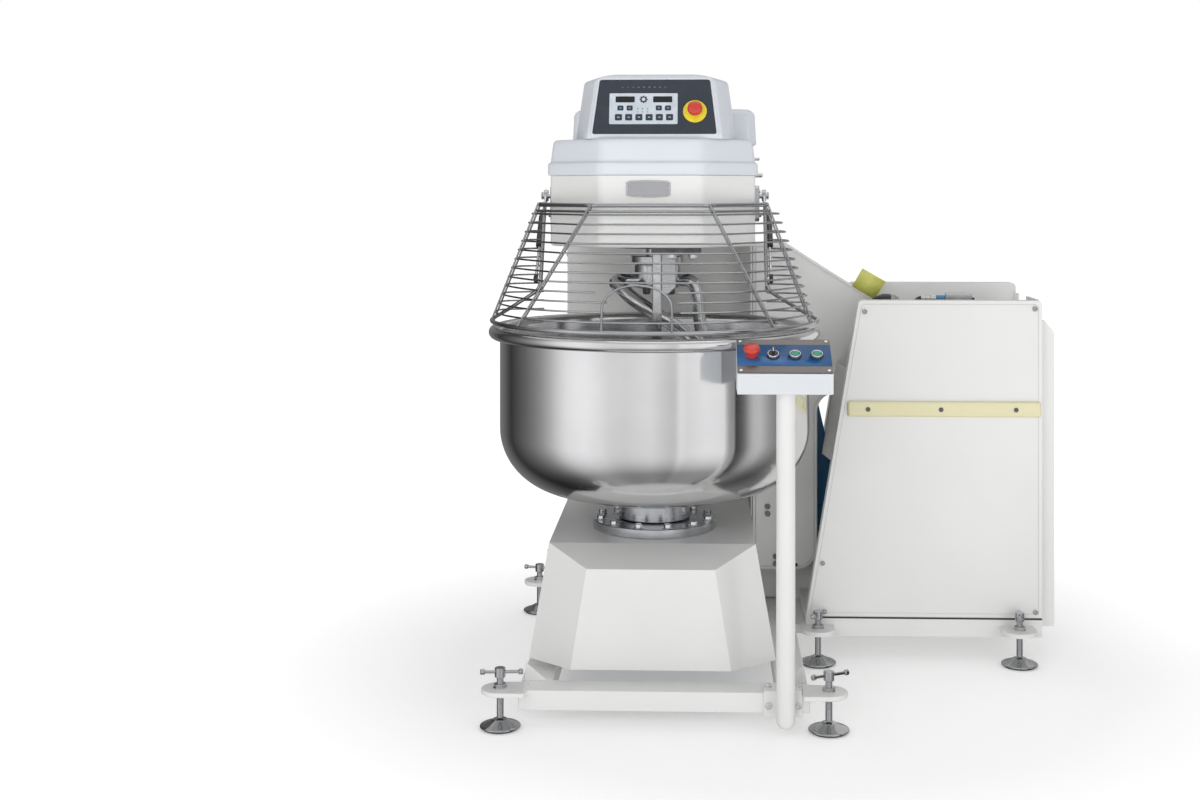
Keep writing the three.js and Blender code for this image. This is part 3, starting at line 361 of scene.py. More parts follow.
def lathe(name, profile, centre, material, segments=96, axis="Z"):
    """Turns a profile of (radius, height) in millimetres round an axis through `centre`."""
    bm = bmesh.new()
    rings = []
    for r, h in profile:
        if r < 1e-6:
            rings.append([bm.verts.new((0, 0, h * MM))])
            continue
        rings.append([
            bm.verts.new((r * MM * math.cos(TAU * i / segments), r * MM * math.sin(TAU * i / segments), h * MM))
            for i in range(segments)
        ])
    for first, second in zip(rings, rings[1:]):
        if len(first) == 1 and len(second) == 1:
            continue
        if len(first) == 1 or len(second) == 1:
            tip, ring = (first[0], second) if len(first) == 1 else (second[0], first)
            for i in range(segments):
                bm.faces.new((tip, ring[i], ring[(i + 1) % segments]))
        else:
            ring_faces(bm, first, second)
    turn = {
        "Z": Matrix.Identity(4), "Y": Matrix.Rotation(math.pi / 2, 4, "X"),
        "X": Matrix.Rotation(math.pi / 2, 4, "Y"),
    }
    matrix = turn[axis] if isinstance(axis, str) else Vector(axis).to_track_quat("Z", "Y").to_matrix().to_4x4()
    bmesh.ops.transform(bm, matrix=Matrix.Translation(centre) @ matrix, verts=bm.verts)
    obj = mesh_object(name, bm, material)
    sharp_to_bevel(obj)
    return obj


def sharp_to_bevel(obj, width=0.7):
    bevelled(obj, width, 2, 40)


def arc(cx, cy, r, start, end, steps):
    """Points on an arc, in degrees; r may be a pair of radii."""
    rx, ry = r if isinstance(r, tuple) else (r, r)
    angles = [math.radians(start + (end - start) * i / steps) for i in range(steps + 1)]
    return [(cx + rx * math.cos(a), cy + ry * math.sin(a)) for a in angles]


def circle(x, y, r, count, start=0):
    """Points spaced evenly round a circle, the first `start` steps on."""
    angles = [TAU * (i + start) / count for i in range(count)]
    return [(x + r * math.cos(a), y + r * math.sin(a)) for a in angles]


def extruded(place, name, outline, span, material, width, segments=2):
    """Extrudes an outline drawn in a frame of its own, which `place` maps to the mixer, and rounds its edges."""
    obj = skinned(name, [[place(a, b, c) for a, b in outline] for c in span], material)
    return bevelled(obj, width, segments) if width else obj


PLANES = {
    "XZ": lambda a, b, c: at(a, c, b),
    "XY": lambda a, b, c: at(a, b, c),
    "YZ": lambda a, b, c: at(c, a, b),
}


def prism(name, outline, span, material, plane="XZ", width=2.0, segments=3):
    """Extrudes an outline in a plane across `span`, in millimetres from the bowl's axis, and rounds its edges."""
    return extruded(PLANES[plane], name, outline, span, material, width, segments)


def block(name, x, y, z, material, width=2.0, segments=3):
    return prism(
        name, [(x[0], y[0]), (x[1], y[0]), (x[1], y[1]), (x[0], y[1])], z, material, "XY", width, segments,
    )


def skin(node, material, width, body, name=None, segments=3, angle=25):
    """A CAD node's own shape with its edges rounded, standing in for the node."""
    bm = bmesh.new()
    bm.from_mesh(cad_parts[node].data)
    bmesh.ops.remove_doubles(bm, verts=bm.verts, dist=0.00005)
    bmesh.ops.dissolve_limit(bm, angle_limit=math.radians(1.0), verts=bm.verts, edges=bm.edges)
    obj = mesh_object(name or f"{node}_skin", bm, material)
    bevelled(obj, width, segments, angle)
    return show(obj, body, (node,))


def wires(name, paths, material, resolution=4):
    """Round wires along paths: each is (points in millimetres, radius, closed)."""
    curve = bpy.data.curves.new(name, "CURVE")
    curve.dimensions = "3D"
    curve.bevel_depth = MM
    curve.bevel_resolution = resolution
    curve.use_fill_caps = True
    curve.resolution_u = 6
    for points, radius, closed in paths:
        spline = curve.splines.new("NURBS" if len(points) > 2 else "POLY")
        spline.points.add(len(points) - 1)
        for point, place in zip(spline.points, points):
            point.co = (*at(*place), 1)
            point.radius = radius
        if len(points) > 2:
            spline.order_u = min(4, len(points))
            spline.use_endpoint_u = not closed
        spline.use_cyclic_u = closed
    curve.materials.append(material)
    obj = bpy.data.objects.new(name, curve)
    bpy.context.scene.collection.objects.link(obj)
    return obj


def joined(name, objects):
    """Makes one mesh object of several, with their modifiers applied and their materials kept."""
    graph = bpy.context.evaluated_depsgraph_get()
    graph.update()
    bm = bmesh.new()
    materials = []
    for obj in objects:
        evaluated = obj.evaluated_get(graph)
        mesh = evaluated.to_mesh()
        own = [slot.material for slot in obj.material_slots]
        for material in own:
            if material not in materials:
                materials.append(material)
        mesh.transform(obj.matrix_world)
        start = len(bm.faces)
        bm.from_mesh(mesh)
        bm.faces.ensure_lookup_table()
        for face in bm.faces[start:]:
            face.material_index = materials.index(own[min(face.material_index, len(own) - 1)])
        evaluated.to_mesh_clear()
    for obj in objects:
        bpy.data.objects.remove(obj)
    mesh = bpy.data.meshes.new(name)
    bm.to_mesh(mesh)
    bm.free()
    for material in materials:
        mesh.materials.append(material)
    made = bpy.data.objects.new(name, mesh)
    bpy.context.scene.collection.objects.link(made)
    return made


def hex_bolt(name, centre, axis, across, height, material):
    """A hexagon bolt head with a chamfered crown, standing on `centre` along `axis`."""
    r = across / 2 / math.cos(math.pi / 6)
    profile = [(0, 0), (r, 0), (r, height * 0.82), (r * 0.86, height), (0, height)]
    return lathe(name, profile, centre, material, 6, axis)


def cap_screw(name, centre, axis, r, height, material):
    """A round cap screw with a socket in its head."""
    profile = [
        (0, 0), (r, 0), (r, height * 0.8), (r * 0.88, height), (r * 0.5, height), (r * 0.45, height * 0.45),
        (0, height * 0.4),
    ]
    return lathe(name, profile, centre, material, 20, axis)


# ---- floor frame ----
RAIL_HIGH, RAIL_END_Y = 95, 690
FRAME_LEFT, FRAME_RIGHT = -330, 400
PAD_DOME = 24                          # top of a levelling pad
FEET = {
    "front_left": (-375, -430), "front_right": (447, -430), "rear_left": (-387, 640),
    "cabinet_front": (462, 120), "cabinet_right": (1032, 120), "cabinet_rear": (1032, 590),
}
# Which way each spindle's tommy bar was left pointing, in degrees.
BAR_TURN = {
    "front_left": 4, "front_right": 28, "rear_left": -12,
    "cabinet_front": 55, "cabinet_right": 80, "cabinet_rear": -60,
}


def floor_frame():
    for node in ("front_beam", "left_rail", "right_and_rear_rail", "cabinet_base"):
        skin(node, CREAM, 3.0, "frame")
    gussets = []
    for x, towards in ((FRAME_LEFT + 9, 1), (FRAME_RIGHT - 9, -1)):
        corners = [(0, 0), (58, 0), (52, 5), (4, 44), (0, 44)]
        outline = [(x + towards * along, RAIL_HIGH + up) for along, up in corners]
        gussets.append(prism("gusset", outline, (-353, -349), CREAM, "XZ", 0.8, 2))
    show(joined("frame_gussets", gussets), "frame")
    plug = [(0, 0), (17, 0), (17, 3), (14, 6), (0, 7)]
    plugs = [
        lathe("plug", plug, at(x, RAIL_END_Y, 70), BLACK_PLASTIC, 32, BACKWARD)
        for x in (FRAME_LEFT + 40, FRAME_RIGHT - 40)
    ]
    show(joined("rail_end_plugs", plugs), "frame")


def levelling_foot(name, x, y):
    node = f"pad_{name}"
    profile = [
        (0, 5), (50.6, 5), (51.4, 6.5), (50.8, 8.4), (47, 10.6), (40, 13), (32, 16), (25, 19.2), (21, 21.4),
        (19, 22.8), (17.4, PAD_DOME), (0, PAD_DOME),
    ]
    show(lathe(f"{node}_dome", profile, at(x, y, 0), ZINC, 72), "frame", (node,))
    sole = lathe(f"{node}_sole", [(0, 0), (44, 0), (45, 1), (45, 5.5), (0, 5.5)], at(x, y, 0), RUBBER, 48)
    show(sole, "frame")
    thread(name, x, y)


def thread(name, x, y):
    """The spindle: a threaded shank, a locking nut, a collar nut and the tommy bar through it."""
    node = f"spindle_{name}"
    low, high = PAD_DOME + 1, 127
    pitch, crest, root, sides = 3.0, 9.0, 7.9, 24
    flank = (root + crest) / 2
    rows = []
    for step in range(int((high - low) / pitch) * 4 + 1):
        r = (root, flank, crest, flank)[step % 4]
        heights = [low + step * pitch / 4 + pitch * i / sides for i in range(sides)]
        rows.append([at(*spot, min(height, high)) for spot, height in zip(circle(x, y, r, sides), heights)])
    nut = [(0, 0), (15.6, 0), (16.6, 1.2), (16.6, 8.8), (15.6, 10), (0, 10)]
    collar = [(0, 0), (12.5, 0), (13.5, 1), (13.5, 23), (12.5, 24), (0, 24)]
    turn = math.radians(BAR_TURN[name])
    along = Vector((math.cos(turn), math.sin(turn), 0))
    end = 38 if name.startswith("cabinet") else 54
    bar = [(0, -end), (5, -end), (7, -end + 2), (7, -end + 10), (5, -end + 12), (4, -end + 12)]
    bar += [(r, -h) for r, h in reversed(bar)]
    parts = [
        skinned("shank", rows, ZINC),
        lathe("nut", nut, at(x, y, 102.5), ZINC, 6),
        lathe("collar", collar, at(x, y, 128), ZINC, 40),
        lathe("tommy_bar", bar, Vector(at(x, y, 141)) + along * (4 * MM), ZINC, 24, along),
    ]
    show(joined(f"{node}_threaded", parts), node, (node,))


def foot_lugs():
    """The washers that sit on the feet's lugs."""
    washer = [(10.2, 0), (18, 0), (18, 1.6), (10.2, 1.6)]
    parts = [lathe("washer", washer, at(x, y, 102.1), CHROME, 36) for x, y in FEET.values()]
    show(joined("lug_washers", parts), "frame")


# ---- cabinet ----
CABINET_FRONT, CABINET_BACK, CABINET_RIGHT = 160, 540, 1105
CABINET_LOW, CABINET_HIGH, CABINET_LEFT, CABINET_LEFT_TOP = 125, 1033, 431, 580
CABINET_LEAN = (CABINET_LEFT_TOP - CABINET_LEFT) / (CABINET_HIGH - CABINET_LOW)


def cabinet_edge(z):
    return CABINET_LEFT + CABINET_LEAN * (z - CABINET_LOW)


def cabinet_outline(inset, corner=14):
    """The leaning front panel's outline, with rounded upper corners."""
    low, high, right = CABINET_LOW + inset, CABINET_HIGH - inset, CABINET_RIGHT - inset
    return [
        (cabinet_edge(low) + inset, low), (right, low),
        *arc(right - corner, high - corner, corner, 0, 90, 6),
        *arc(cabinet_edge(high) + inset + corner, high - corner, corner, 90, 170, 6),
    ]


def cabinet_front():
    """A folded pan: its face, its turned-back edge and the thin return along the opening."""
    wall, depth = 3, 40
    outer, inner = cabinet_outline(0), cabinet_outline(wall)
    front, back = CABINET_FRONT, CABINET_FRONT + depth
    places = [(outer, front), (outer, back), (inner, back), (inner, front + wall)]
    rings = [[at(x, y, z) for x, z in outline] for outline, y in places]
    made = bevelled(skinned("cabinet_front_skin", rings, CREAM), 2.2, 3, 50)
    show(made, "frame", ("cabinet_front_panel",))


def cabinet():
    cabinet_front()
    # The plate inside the cabinet is drawn in the darker cream: painted shade inside the cabinet.
    skin("cabinet_inner_plate", CREAM_SHADED, 1.0, "frame", segments=2)
    for node in ("cabinet_rear_panel", "cabinet_right_side"):
        skin(node, CREAM, 2.0, "frame", angle=50)
    # A thin darker cream wire along the front panel's seam: painted shade in the seam.
    rim_line = [(x, CABINET_FRONT - 0.2, z) for x, z in cabinet_outline(11, 12)]
    seam = wires("cabinet_rim_seam_shade", [(rim_line, 0.9, True)], CREAM_SHADED, 2)
    for spline in seam.data.splines:
        spline.type = "POLY"
    show(seam, "frame")
    front = [(cabinet_edge(1001) + 24, 1001), (1084, 1010), (cabinet_edge(278) + 22, 278), (1085, 142)]
    back = [(700, 1040), (900, 1040), (1060, 1040), (660, 140), (960, 140), (520, 600), (1085, 600)]
    screws = [cap_screw("screw", at(x, CABINET_FRONT, z), FORWARD, 7.4, 4.5, ZINC) for x, z in front]
    screws += [cap_screw("screw", at(x, CABINET_BACK, z), BACKWARD, 6.5, 4, CHROME) for x, z in back]
    screws += [cap_screw("screw", at(1149, 242, z), (1, 0, 0), 6, 4, CHROME) for z in (130, 340, 560, 780, 930)]
    show(joined("cabinet_screws", screws), "frame")
    bumper()
    louvres()
    sill_shadow_line()
    open_top()


def bumper():
    """The soft strip across the front panel, with a rounded face and its three screws."""
    low, high, left, right = 700, 745, 549, 1100
    middle_z, wall = (low + high) / 2, CABINET_FRONT
    profile = [
        (wall, low), (151, low + 1), (147.5, low + 6), (146.5, middle_z), (147.5, high - 6), (151, high - 1),
        (wall, high),
    ]
    stations = ((left, 5), (left + 3, 1), (left + 9, 0), (right - 9, 0), (right - 3, 1), (right, 5))
    rings = [
        [at(x, min(wall, y + shrink * 1.2), middle_z + (z - middle_z) * (1 - shrink / 28)) for y, z in profile]
        for x, shrink in stations
    ]
    show(bevelled(skinned("bumper_strip", rings, BUMPER), 0.8, 2, 50), "frame")
    screws = [cap_screw("screw", at(x, 147.2, 722), FORWARD, 6.8, 2.6, DARK_STEEL) for x in (607, 815, 1028)]
    show(joined("bumper_screws", screws), "frame")


def louvres():
    """Pressed vents on the cabinet's back."""
    wall = CABINET_BACK
    section = [(wall - 1, 0), (wall - 1, 20), (wall + 5, 16), (wall + 8, 3), (wall + 6, 0)]
    parts = []
    for left in (600, 760):
        for row in range(7):
            outline = [(y, 300 + row * 34 + up) for y, up in section]
            parts.append(prism("louvre", outline, (left, left + 110), CREAM, "YZ", 1.0, 2))
    show(joined("rear_louvres", parts), "frame")


def sill_shadow_line():
    """The dark line under the front panel: a black strip, painted shadow under the panel's lower edge."""
    lip = block("lip", (444, 1104), (159.4, 163), (119.5, 124.5), BLACK_PLASTIC, 0.4, 1)
    show(joined("sill_shadow_strip", [lip]), "frame")


def open_top():
    """What shows over the inner plate through the open top: two couplings on their hoses and a small valve."""
    y, z = 300, 1030
    along = (1, 0, -0.08)
    parts = [
        lathe(
            "nozzle", [(0, 0), (8, 0), (14, 14), (15, 26), (15, 38), (0, 38)], at(652, y, z), BLACK, 40, along,
        ),
        lathe(
            "nozzle_nut", [(0, 0), (15.5, 0), (15.5, 14), (11, 17), (11, 26), (0, 26)], at(689, y, z - 2), ZINC,
            6, along,
        ),
        lathe(
            "union", [(0, 0), (8, 0), (9, 2), (9, 12), (6, 14), (6, 26), (10, 28), (10, 44), (0, 44)],
            at(779, y, z), CHROME, 6, (1, 0, 0),
        ),
        lathe("hose_band", [(0, 0), (9, 0), (9, 27), (0, 27)], at(823, y, z), LIGHT_BLUE, 32, (1, 0, 0)),
        block("valve", (850, 928), (y - 11, y + 11), (z - 9, z + 16), SHEET_STEEL, 2.5, 3),
        block("valve_foot", (924, 936), (y - 9, y + 9), (z - 14, z + 2), BLACK_PLASTIC, 1.0, 2),
        # The bracket inside the cabinet is in the darker cream, as painted shade.
        block("valve_bracket", (880, 902), (221, y + 9), (z - 14, z - 8), CREAM_SHADED, 0.6, 1),
    ]
    show(joined("cabinet_top_fittings", parts), "frame")
    hoses = [
        (
            [
                (782, y, z), (768, y, z - 2), (757, y, z - 20), (752, y + 5, 960), (760, y, 880),
                (745, y + 40, 470),
            ],
            7.5, False,
        ),
        (
            [
                (655, y, z), (640, y, z - 4), (630, y, z - 24), (634, y + 10, 940), (690, y + 40, 700),
                (700, y + 60, 490),
            ],
            7.5, False,
        ),
    ]
    show(wires("hydraulic_hoses", hoses, RUBBER, 6), "frame")


# ---- tilting drive and power unit ----
SHAFT_X, SHAFT_Z = 960, 800


def tilting_drive():
    skin("tilt_shaft", TURNED, 1.0, "mixer", segments=2)
    skin("tilt_rack", TURNED, 0.7, "tilt_rack", segments=2)
    skin("lift_cylinder", BLACK, 2.0, "frame")
    bolts = []
    for node, y, face in (("shaft_bearing_front", 222.3, 1), ("shaft_bearing_rear", 494.7, -1)):
        skin(node, CAST_IRON, 1.5, "frame", segments=2)
        for x, z in circle(SHAFT_X, SHAFT_Z, 77, 6, 0.5):
            bolts.append(hex_bolt("bolt", at(x, y + face * 8, z), (0, face, 0), 13, 8, CHROME))
    show(joined("bearing_bolts", bolts), "frame")
    skin("power_unit_cover", BLUE, 5.0, "frame", segments=4)
    apron = [(299, 97), (610, 97), (596, 218), (299, 218)]
    show(prism("cover_apron", apron, (470.6, 473.4), CREAM, "XZ", 0.8, 2), "frame")
    skin("hydraulic_power_unit", BLUE, 2.5, "frame")
    cooling_fins("pump_motor_fins", (690, 370), 50, 20, 1.6, (352, 500), "frame")


def cooling_fins(name, centre, r, count, thick, span, body):
    """A motor's upright ribs."""
    low, high = span
    profile = [(0, low), (thick, low), (thick, high), (0, high)]
    fins = [lathe("fin", profile, at(x, y, 0), BLUE, 8) for x, y in circle(*centre, r, count)]
    show(joined(name, fins), body)


# ---- post and remote control ----
POST_X, POST_Y = 338, -464


def control_post():
    profile = [(0, 18), (8, 18.6), (14, 21), (19.5, 26), (22.6, 33), (23.5, 41.5), (23.5, 848), (0, 848)]
    angle = [(-438, 38), (-430.3, 38), (-430.3, 95.3), (-375, 95.3), (-375, 102), (-438, 102)]
    parts = [
        lathe("tube", profile, at(POST_X, POST_Y, 0), CREAM, 64),
        prism("bracket", angle, (285, 381), CREAM, "YZ", 1.8),
        block("saddle", (POST_X - 18, POST_X + 18), (POST_Y, -436), (46, 96), CREAM),
    ]
    show(joined("control_post_skin", parts), "frame", ("control_post",))
    bolts = []
    for x in (297, 370):
        for centre, axis in ((at(x, -438, 66), FORWARD), (at(x, -402, 102), (0, 0, 1))):
            bolts.append(lathe("washer", [(0, 0), (9.5, 0), (9.5, 1.2), (0, 1.2)], centre, CHROME, 28, axis))
            bolts.append(cap_screw("bolt", centre, axis, 7.5, 8, CHROME))
    show(joined("post_bracket_bolts", bolts), "frame")


REMOTE_TILT = math.radians(30)
REMOTE_ORIGIN = (333, -540, 904)


def on_remote(x, up, out):
    """A point on the remote's sloping face: x across, up along the slope, out from the face."""
    ox, oy, oz = REMOTE_ORIGIN
    c, s = math.cos(REMOTE_TILT), math.sin(REMOTE_TILT)
    return at(ox + x, oy + up * c - out * s, oz + up * s + out * c)


REMOTE_OUT = (0, -math.sin(REMOTE_TILT), math.cos(REMOTE_TILT))


def rounded(x, y, r, steps=5):
    """A rectangle's outline with round corners."""
    return [
        *arc(x[1] - r, y[1] - r, r, 0, 90, steps), *arc(x[0] + r, y[1] - r, r, 90, 180, steps),
        *arc(x[0] + r, y[0] + r, r, 180, 270, steps), *arc(x[1] - r, y[0] + r, r, 270, 360, steps),
    ]


STATIONS = {"stop": -80, "selector": -27, "up": 27, "down": 81}
STATION_UP = 71


def remote_control():
    skin("remote_box", PLASTIC_GREY, 5.0, "frame", segments=4, angle=20)
    parts = [
        extruded(on_remote, "plate", rounded((-116, 116), (2, 140), 4), (0.4, 2.6), SATIN_PLATE, 0.6),
        extruded(on_remote, "film", rounded((-115.4, 115.4), (29, 117), 0.8), (2.6, 3.0), REMOTE_BLUE, 0),
    ]
    screw = [(0, 0), (5, 0), (4.6, 1.6), (2.4, 2.2), (2.2, 1.0), (0, 0.9)]
    for x in (-107, 107):
        for up in (11, 131):
            parts.append(lathe("screw", screw, on_remote(x, up, 2.6), CHROME, 24, REMOTE_OUT))
    base = [(11.3, 0), (16.4, 0), (16.6, 1.4), (15.6, 2.6), (11.3, 3.0)]
    bezel = [(11.3, 2), (14.6, 2), (14.8, 6.4), (13.8, 8.4), (12.2, 8.8), (11.3, 7.4)]
    for key in ("selector", "up", "down"):
        centre = on_remote(STATIONS[key], STATION_UP, 2.8)
        parts.append(lathe("base", base, centre, BLACK_PLASTIC, 56, REMOTE_OUT))
        parts.append(lathe("bezel", bezel, centre, CHROME, 56, REMOTE_OUT))
    show(joined("remote_faceplate_detailed", parts), "frame", ("remote_faceplate",))

    mushroom = [
        (0, 2), (10.8, 2), (10.8, 3.4), (15.2, 3.6), (15.6, 16), (19.2, 19), (20.4, 22), (20, 26.5), (17, 30),
        (11, 32), (0, 32.6),
    ]
    stop = lathe("stop_mushroom", mushroom, on_remote(STATIONS["stop"], STATION_UP, 0), RED, 64, REMOTE_OUT)
    show(stop, "remote_stop_button", ("remote_stop_button",))
    cap = [(0, 1), (10.6, 1), (10.6, 10.4), (9.8, 11.4), (0, 11.9)]
    for key in ("up", "down"):
        made = lathe(f"{key}_cap", cap, on_remote(STATIONS[key], STATION_UP, 0), GREEN, 48, REMOTE_OUT)
        show(made, f"remote_{key}_button", (f"remote_{key}_button",))
    selector()


def selector():
    x = STATIONS["selector"]

    def bar(name, half_wide, half_long, r, span, material, width):
        outline = rounded((x - half_wide, x + half_wide), (STATION_UP - half_long, STATION_UP + half_long), r)
        return extruded(on_remote, name, outline, span, material, width, 3)

    barrel = [(0, 1), (10.8, 1), (10.8, 8), (9.6, 11.5), (0, 12)]
    parts = [
        lathe("barrel", barrel, on_remote(x, STATION_UP, 0), BLACK_PLASTIC, 48, REMOTE_OUT),
        bar("lever", 4, 10, 3, (10.5, 23.5), BLACK_PLASTIC, 1.4),
        # A white strip along the lever's top: painted highlight of the lever's tip.
        bar("mark", 1.4, 8, 1.2, (23.4, 24), LEVER_HIGHLIGHT, 0),
    ]
    show(joined("selector_knob", parts), "remote_selector", ("remote_selector",))


# ---- mixer base, column and lift arm ----
DECK = 417
BASE_HALF, COLUMN_HALF = 273, 284
ARM_FRONT, ARM_BACK = 366, 466


def mixer_base():
    skin("base_housing", CREAM, 4.0, "mixer", segments=4)
    skin("base_front_cover", CREAM, 9.0, "mixer", segments=5, angle=15)
    skin("column", CREAM, 5.0, "mixer", segments=4)
    skin("bowl_gearmotor", BLUE, 3.0, "mixer")
    hardware = []
    for z in (390, 330, 205, 150):
        for side in (1, -1):
            hardware.append(hex_bolt("bolt", at(side * BASE_HALF, -196, z), (side, 0, 0), 11, 6, CHROME))
    for z in (1150, 860, 560, 260):
        for y in (500, 662):
            hardware.append(cap_screw("screw", at(-COLUMN_HALF, y, z), (-1, 0, 0), 7, 4, CHROME))
    show(joined("base_side_bolts", hardware), "mixer")
    tabs = [
        block("hinge_plate", (BASE_HALF, BASE_HALF + 6), (-212, -176), (z, z + 44), CREAM, 1.2, 2)
        for z in (345, 165)
    ]
    show(joined("base_cover_tabs", tabs), "mixer")
    door = [block("service_door", (-236, 236), (689.5, 693), (190, 1150), CREAM, 1.5, 2)]
    for x in (-218, 218):
        for z in (208, 520, 830, 1132):
            door.append(cap_screw("screw", at(x, 693, z), BACKWARD, 7, 4, CHROME))
    show(joined("column_service_door", door), "mixer")


def arm_outline(inset):
    left, right, low, corner, hub_r = 284.3, 479, 208, 64, 92
    return [
        (left + inset, low + inset), *arc(right - corner, low + corner, corner - inset, -90, 0, 10),
        (right - inset, 680), *arc(right + 55, 684, 55 + inset, 180, 90, 8)[1:], (620, 738 + inset),
        *arc(SHAFT_X, SHAFT_Z, hub_r - inset, -85, 95, 28), (790, 900 - inset), (652, 1022 - inset),
        (390, 1188 - inset), (left + inset, 1190 - inset),
    ]


def lift_arm():
    """The welded arm: a front sheet, its folded walls, and a darker strip round its front edge, painted shade
    standing in for a groove.
    """
    wall = 10
    outer, inner = arm_outline(0), arm_outline(wall)
    places = [(outer, ARM_FRONT), (outer, ARM_BACK), (inner, ARM_BACK), (inner, ARM_FRONT + wall)]
    rings = [[at(x, y, z) for x, z in outline] for outline, y in places]
    hub = [(40.5, 0), (80, 0), (80, 96), (78, 99), (40.5, 99)]
    boss = [(41, 0), (64, 0), (64, 5), (62, 8), (41, 8)]
    parts = [
        bevelled(skinned("arm_body", rings, CREAM), 3.5, 4, 40),
        lathe("hub", hub, at(SHAFT_X, ARM_BACK, SHAFT_Z), CREAM, 72, FORWARD),
        lathe("boss", boss, at(SHAFT_X, ARM_FRONT, SHAFT_Z), CREAM, 72, FORWARD),
    ]
    show(joined("lift_arm_skin", parts), "mixer", ("lift_arm",))
    # A thin darker strip just proud of the front sheet: painted shade where a groove runs.
    near, far = arm_outline(9), arm_outline(11.4)
    places = [(near, 364.6), (near, 366.2), (far, 366.2), (far, 364.6)]
    groove = skinned("arm_groove_shade", [[at(x, y, z) for x, z in line] for line, y in places], CREAM_SHADED, "joined")
    show(groove, "mixer")
    bolts = [
        hex_bolt("bolt", at(x, ARM_FRONT, z), FORWARD, 15, 9, DARK_STEEL)
        for x, z in ((330, 398), (330, 376), (354, 248), (354, 226))
    ]
    plug = [(0, 0), (6, 0), (5.4, 1.4), (0, 1.6)]
    bolts.append(lathe("plug", plug, at(415, ARM_FRONT, 222), BLACK_PLASTIC, 24, FORWARD))
    show(joined("arm_bolts", bolts), "mixer")
    tape = [(583, 1061), (649, 1021), (684, 1075), (614, 1115)]
    show(prism("tape_strip", tape, (364.2, 365), TAPE, "XZ", 0), "mixer")


# ---- bowl ----
BOWL_R, BOWL_WALL, FLOOR_R, FLOOR_Z, CORNER_Z = 428, 4, 239, 520, 697
RIM_R, RIM_BEAD, RIM_Z = 442, 17, 960


def bowl_wall(inset, steps=24):
    reach, corner = BOWL_R - FLOOR_R, CORNER_Z - FLOOR_Z
    quarter = [math.pi / 2 * i / steps for i in range(steps + 1)]
    return [
        (FLOOR_R + (reach - inset) * math.sin(a), CORNER_Z - (corner - inset) * math.cos(a)) for a in quarter
    ]


def bowl():
    profile = [(0, FLOOR_Z), (120, FLOOR_Z), *bowl_wall(0), (BOWL_R, 800), (BOWL_R, 940)]
    profile += arc(RIM_R, RIM_Z, RIM_BEAD, -145, 150, 26)
    profile += [
        (BOWL_R - BOWL_WALL + 1.2, RIM_Z + 5), (BOWL_R - BOWL_WALL, RIM_Z - 4), (BOWL_R - BOWL_WALL, 800),
    ]
    profile += [*reversed(bowl_wall(BOWL_WALL)), (120, FLOOR_Z + BOWL_WALL), (0, FLOOR_Z + BOWL_WALL)]
    made = lathe("bowl_spun", profile, BOWL_AXIS, BOWL_STEEL, 160)
    made.modifiers.clear()
    show(made, "bowl", ("bowl",))
    hub_profile = [
        (0, 320), (30, 320), (30, 395), (45, 396), (45, 443), (97, 444), (99, 446), (99, 492), (101, 498), (
            108, 502,
        ),
        (135, 504.5), (140, 506), (144, 509), (232, 512), (237, 514), (237, 519.5), (0, 519.5),
    ]
    show(lathe("bowl_hub_turned", hub_profile, BOWL_AXIS, TURNED, 96), "bowl", ("bowl_hub",))
    bearing()


def bearing():
    flange = [
        (45.5, DECK + 0.3), (168, DECK + 0.3), (170, 419), (170, 440), (168, 442), (112, 442), (110, 444), (
            108, 442,
        ),
        (45.5, 442),
    ]
    washer = [(0, 442), (14, 442), (14, 443.8), (0, 443.8)]
    bolt = [(0, 443.8), (10.6, 443.8), (11, 444.6), (11, 452), (9.6, 453.6), (0, 454)]
    parts = [lathe("flange", flange, BOWL_AXIS, TURNED, 96)]
    for x, y in circle(0, 0, 152, 12, 0.5):
        parts.append(lathe("washer", washer, at(x, y, 0), CHROME, 32))
        parts.append(lathe("bolt", bolt, at(x, y, 0), CHROME, 6))
    show(joined("bowl_bearing_turned", parts), "mixer", ("bowl_bearing",))


# ---- spiral hook and its drive ----
SPIRAL_Y, SPIRAL_R = 250, 128
HOOK_TOP, HOOK_LOW, HOOK_TURNS, HOOK_START = 1085, 565, 1.05, 205


def hook_path(t):
    z = HOOK_TOP + (HOOK_LOW - HOOK_TOP) * t
    lowest = max(0, 1 - (z - HOOK_LOW) / 190)
    r = SPIRAL_R * (1 - 0.66 * lowest * lowest)
    angle = math.radians(HOOK_START + 360 * HOOK_TURNS * t)
    return r * math.cos(angle), SPIRAL_Y + r * math.sin(angle), z


def tube(bm, points, radii, sides=20):
    """A round bar of changing radius through points, with flat ends."""
    places = [at(*p) for p in points]
    rows = []
    side = None
    for i, place in enumerate(places):
        ahead = places[min(i + 1, len(places) - 1)] - places[max(i - 1, 0)]
        ahead.normalize()
        if side is None:
            side = ahead.orthogonal().normalized()
        side = (side - ahead * side.dot(ahead)).normalized()
        other = ahead.cross(side)
        r = radii[i] * MM
        rows.append([
            bm.verts.new(place + (side * math.cos(TAU * k / sides) + other * math.sin(TAU * k / sides)) * r)
            for k in range(sides)
        ])
    for first, second in zip(rows, rows[1:]):
        ring_faces(bm, first, second)
    bm.faces.new(rows[0])
    bm.faces.new(rows[-1])


def smooth_points(points, steps):
    """A Catmull-Rom curve through points."""
    padded_points = [points[0], *points, points[-1]]
    made = []
    for i in range(1, len(padded_points) - 2):
        p0, p1, p2, p3 = (Vector(p) for p in padded_points[i - 1:i + 3])
        for k in range(steps):
            t = k / steps
            square, cube = 2 * p0 - 5 * p1 + 4 * p2 - p3, 3 * p1 - p0 - 3 * p2 + p3
            made.append(0.5 * (2 * p1 + (p2 - p0) * t + square * t * t + cube * t ** 3))
    made.append(Vector(points[-1]))
    return [tuple(p) for p in made]


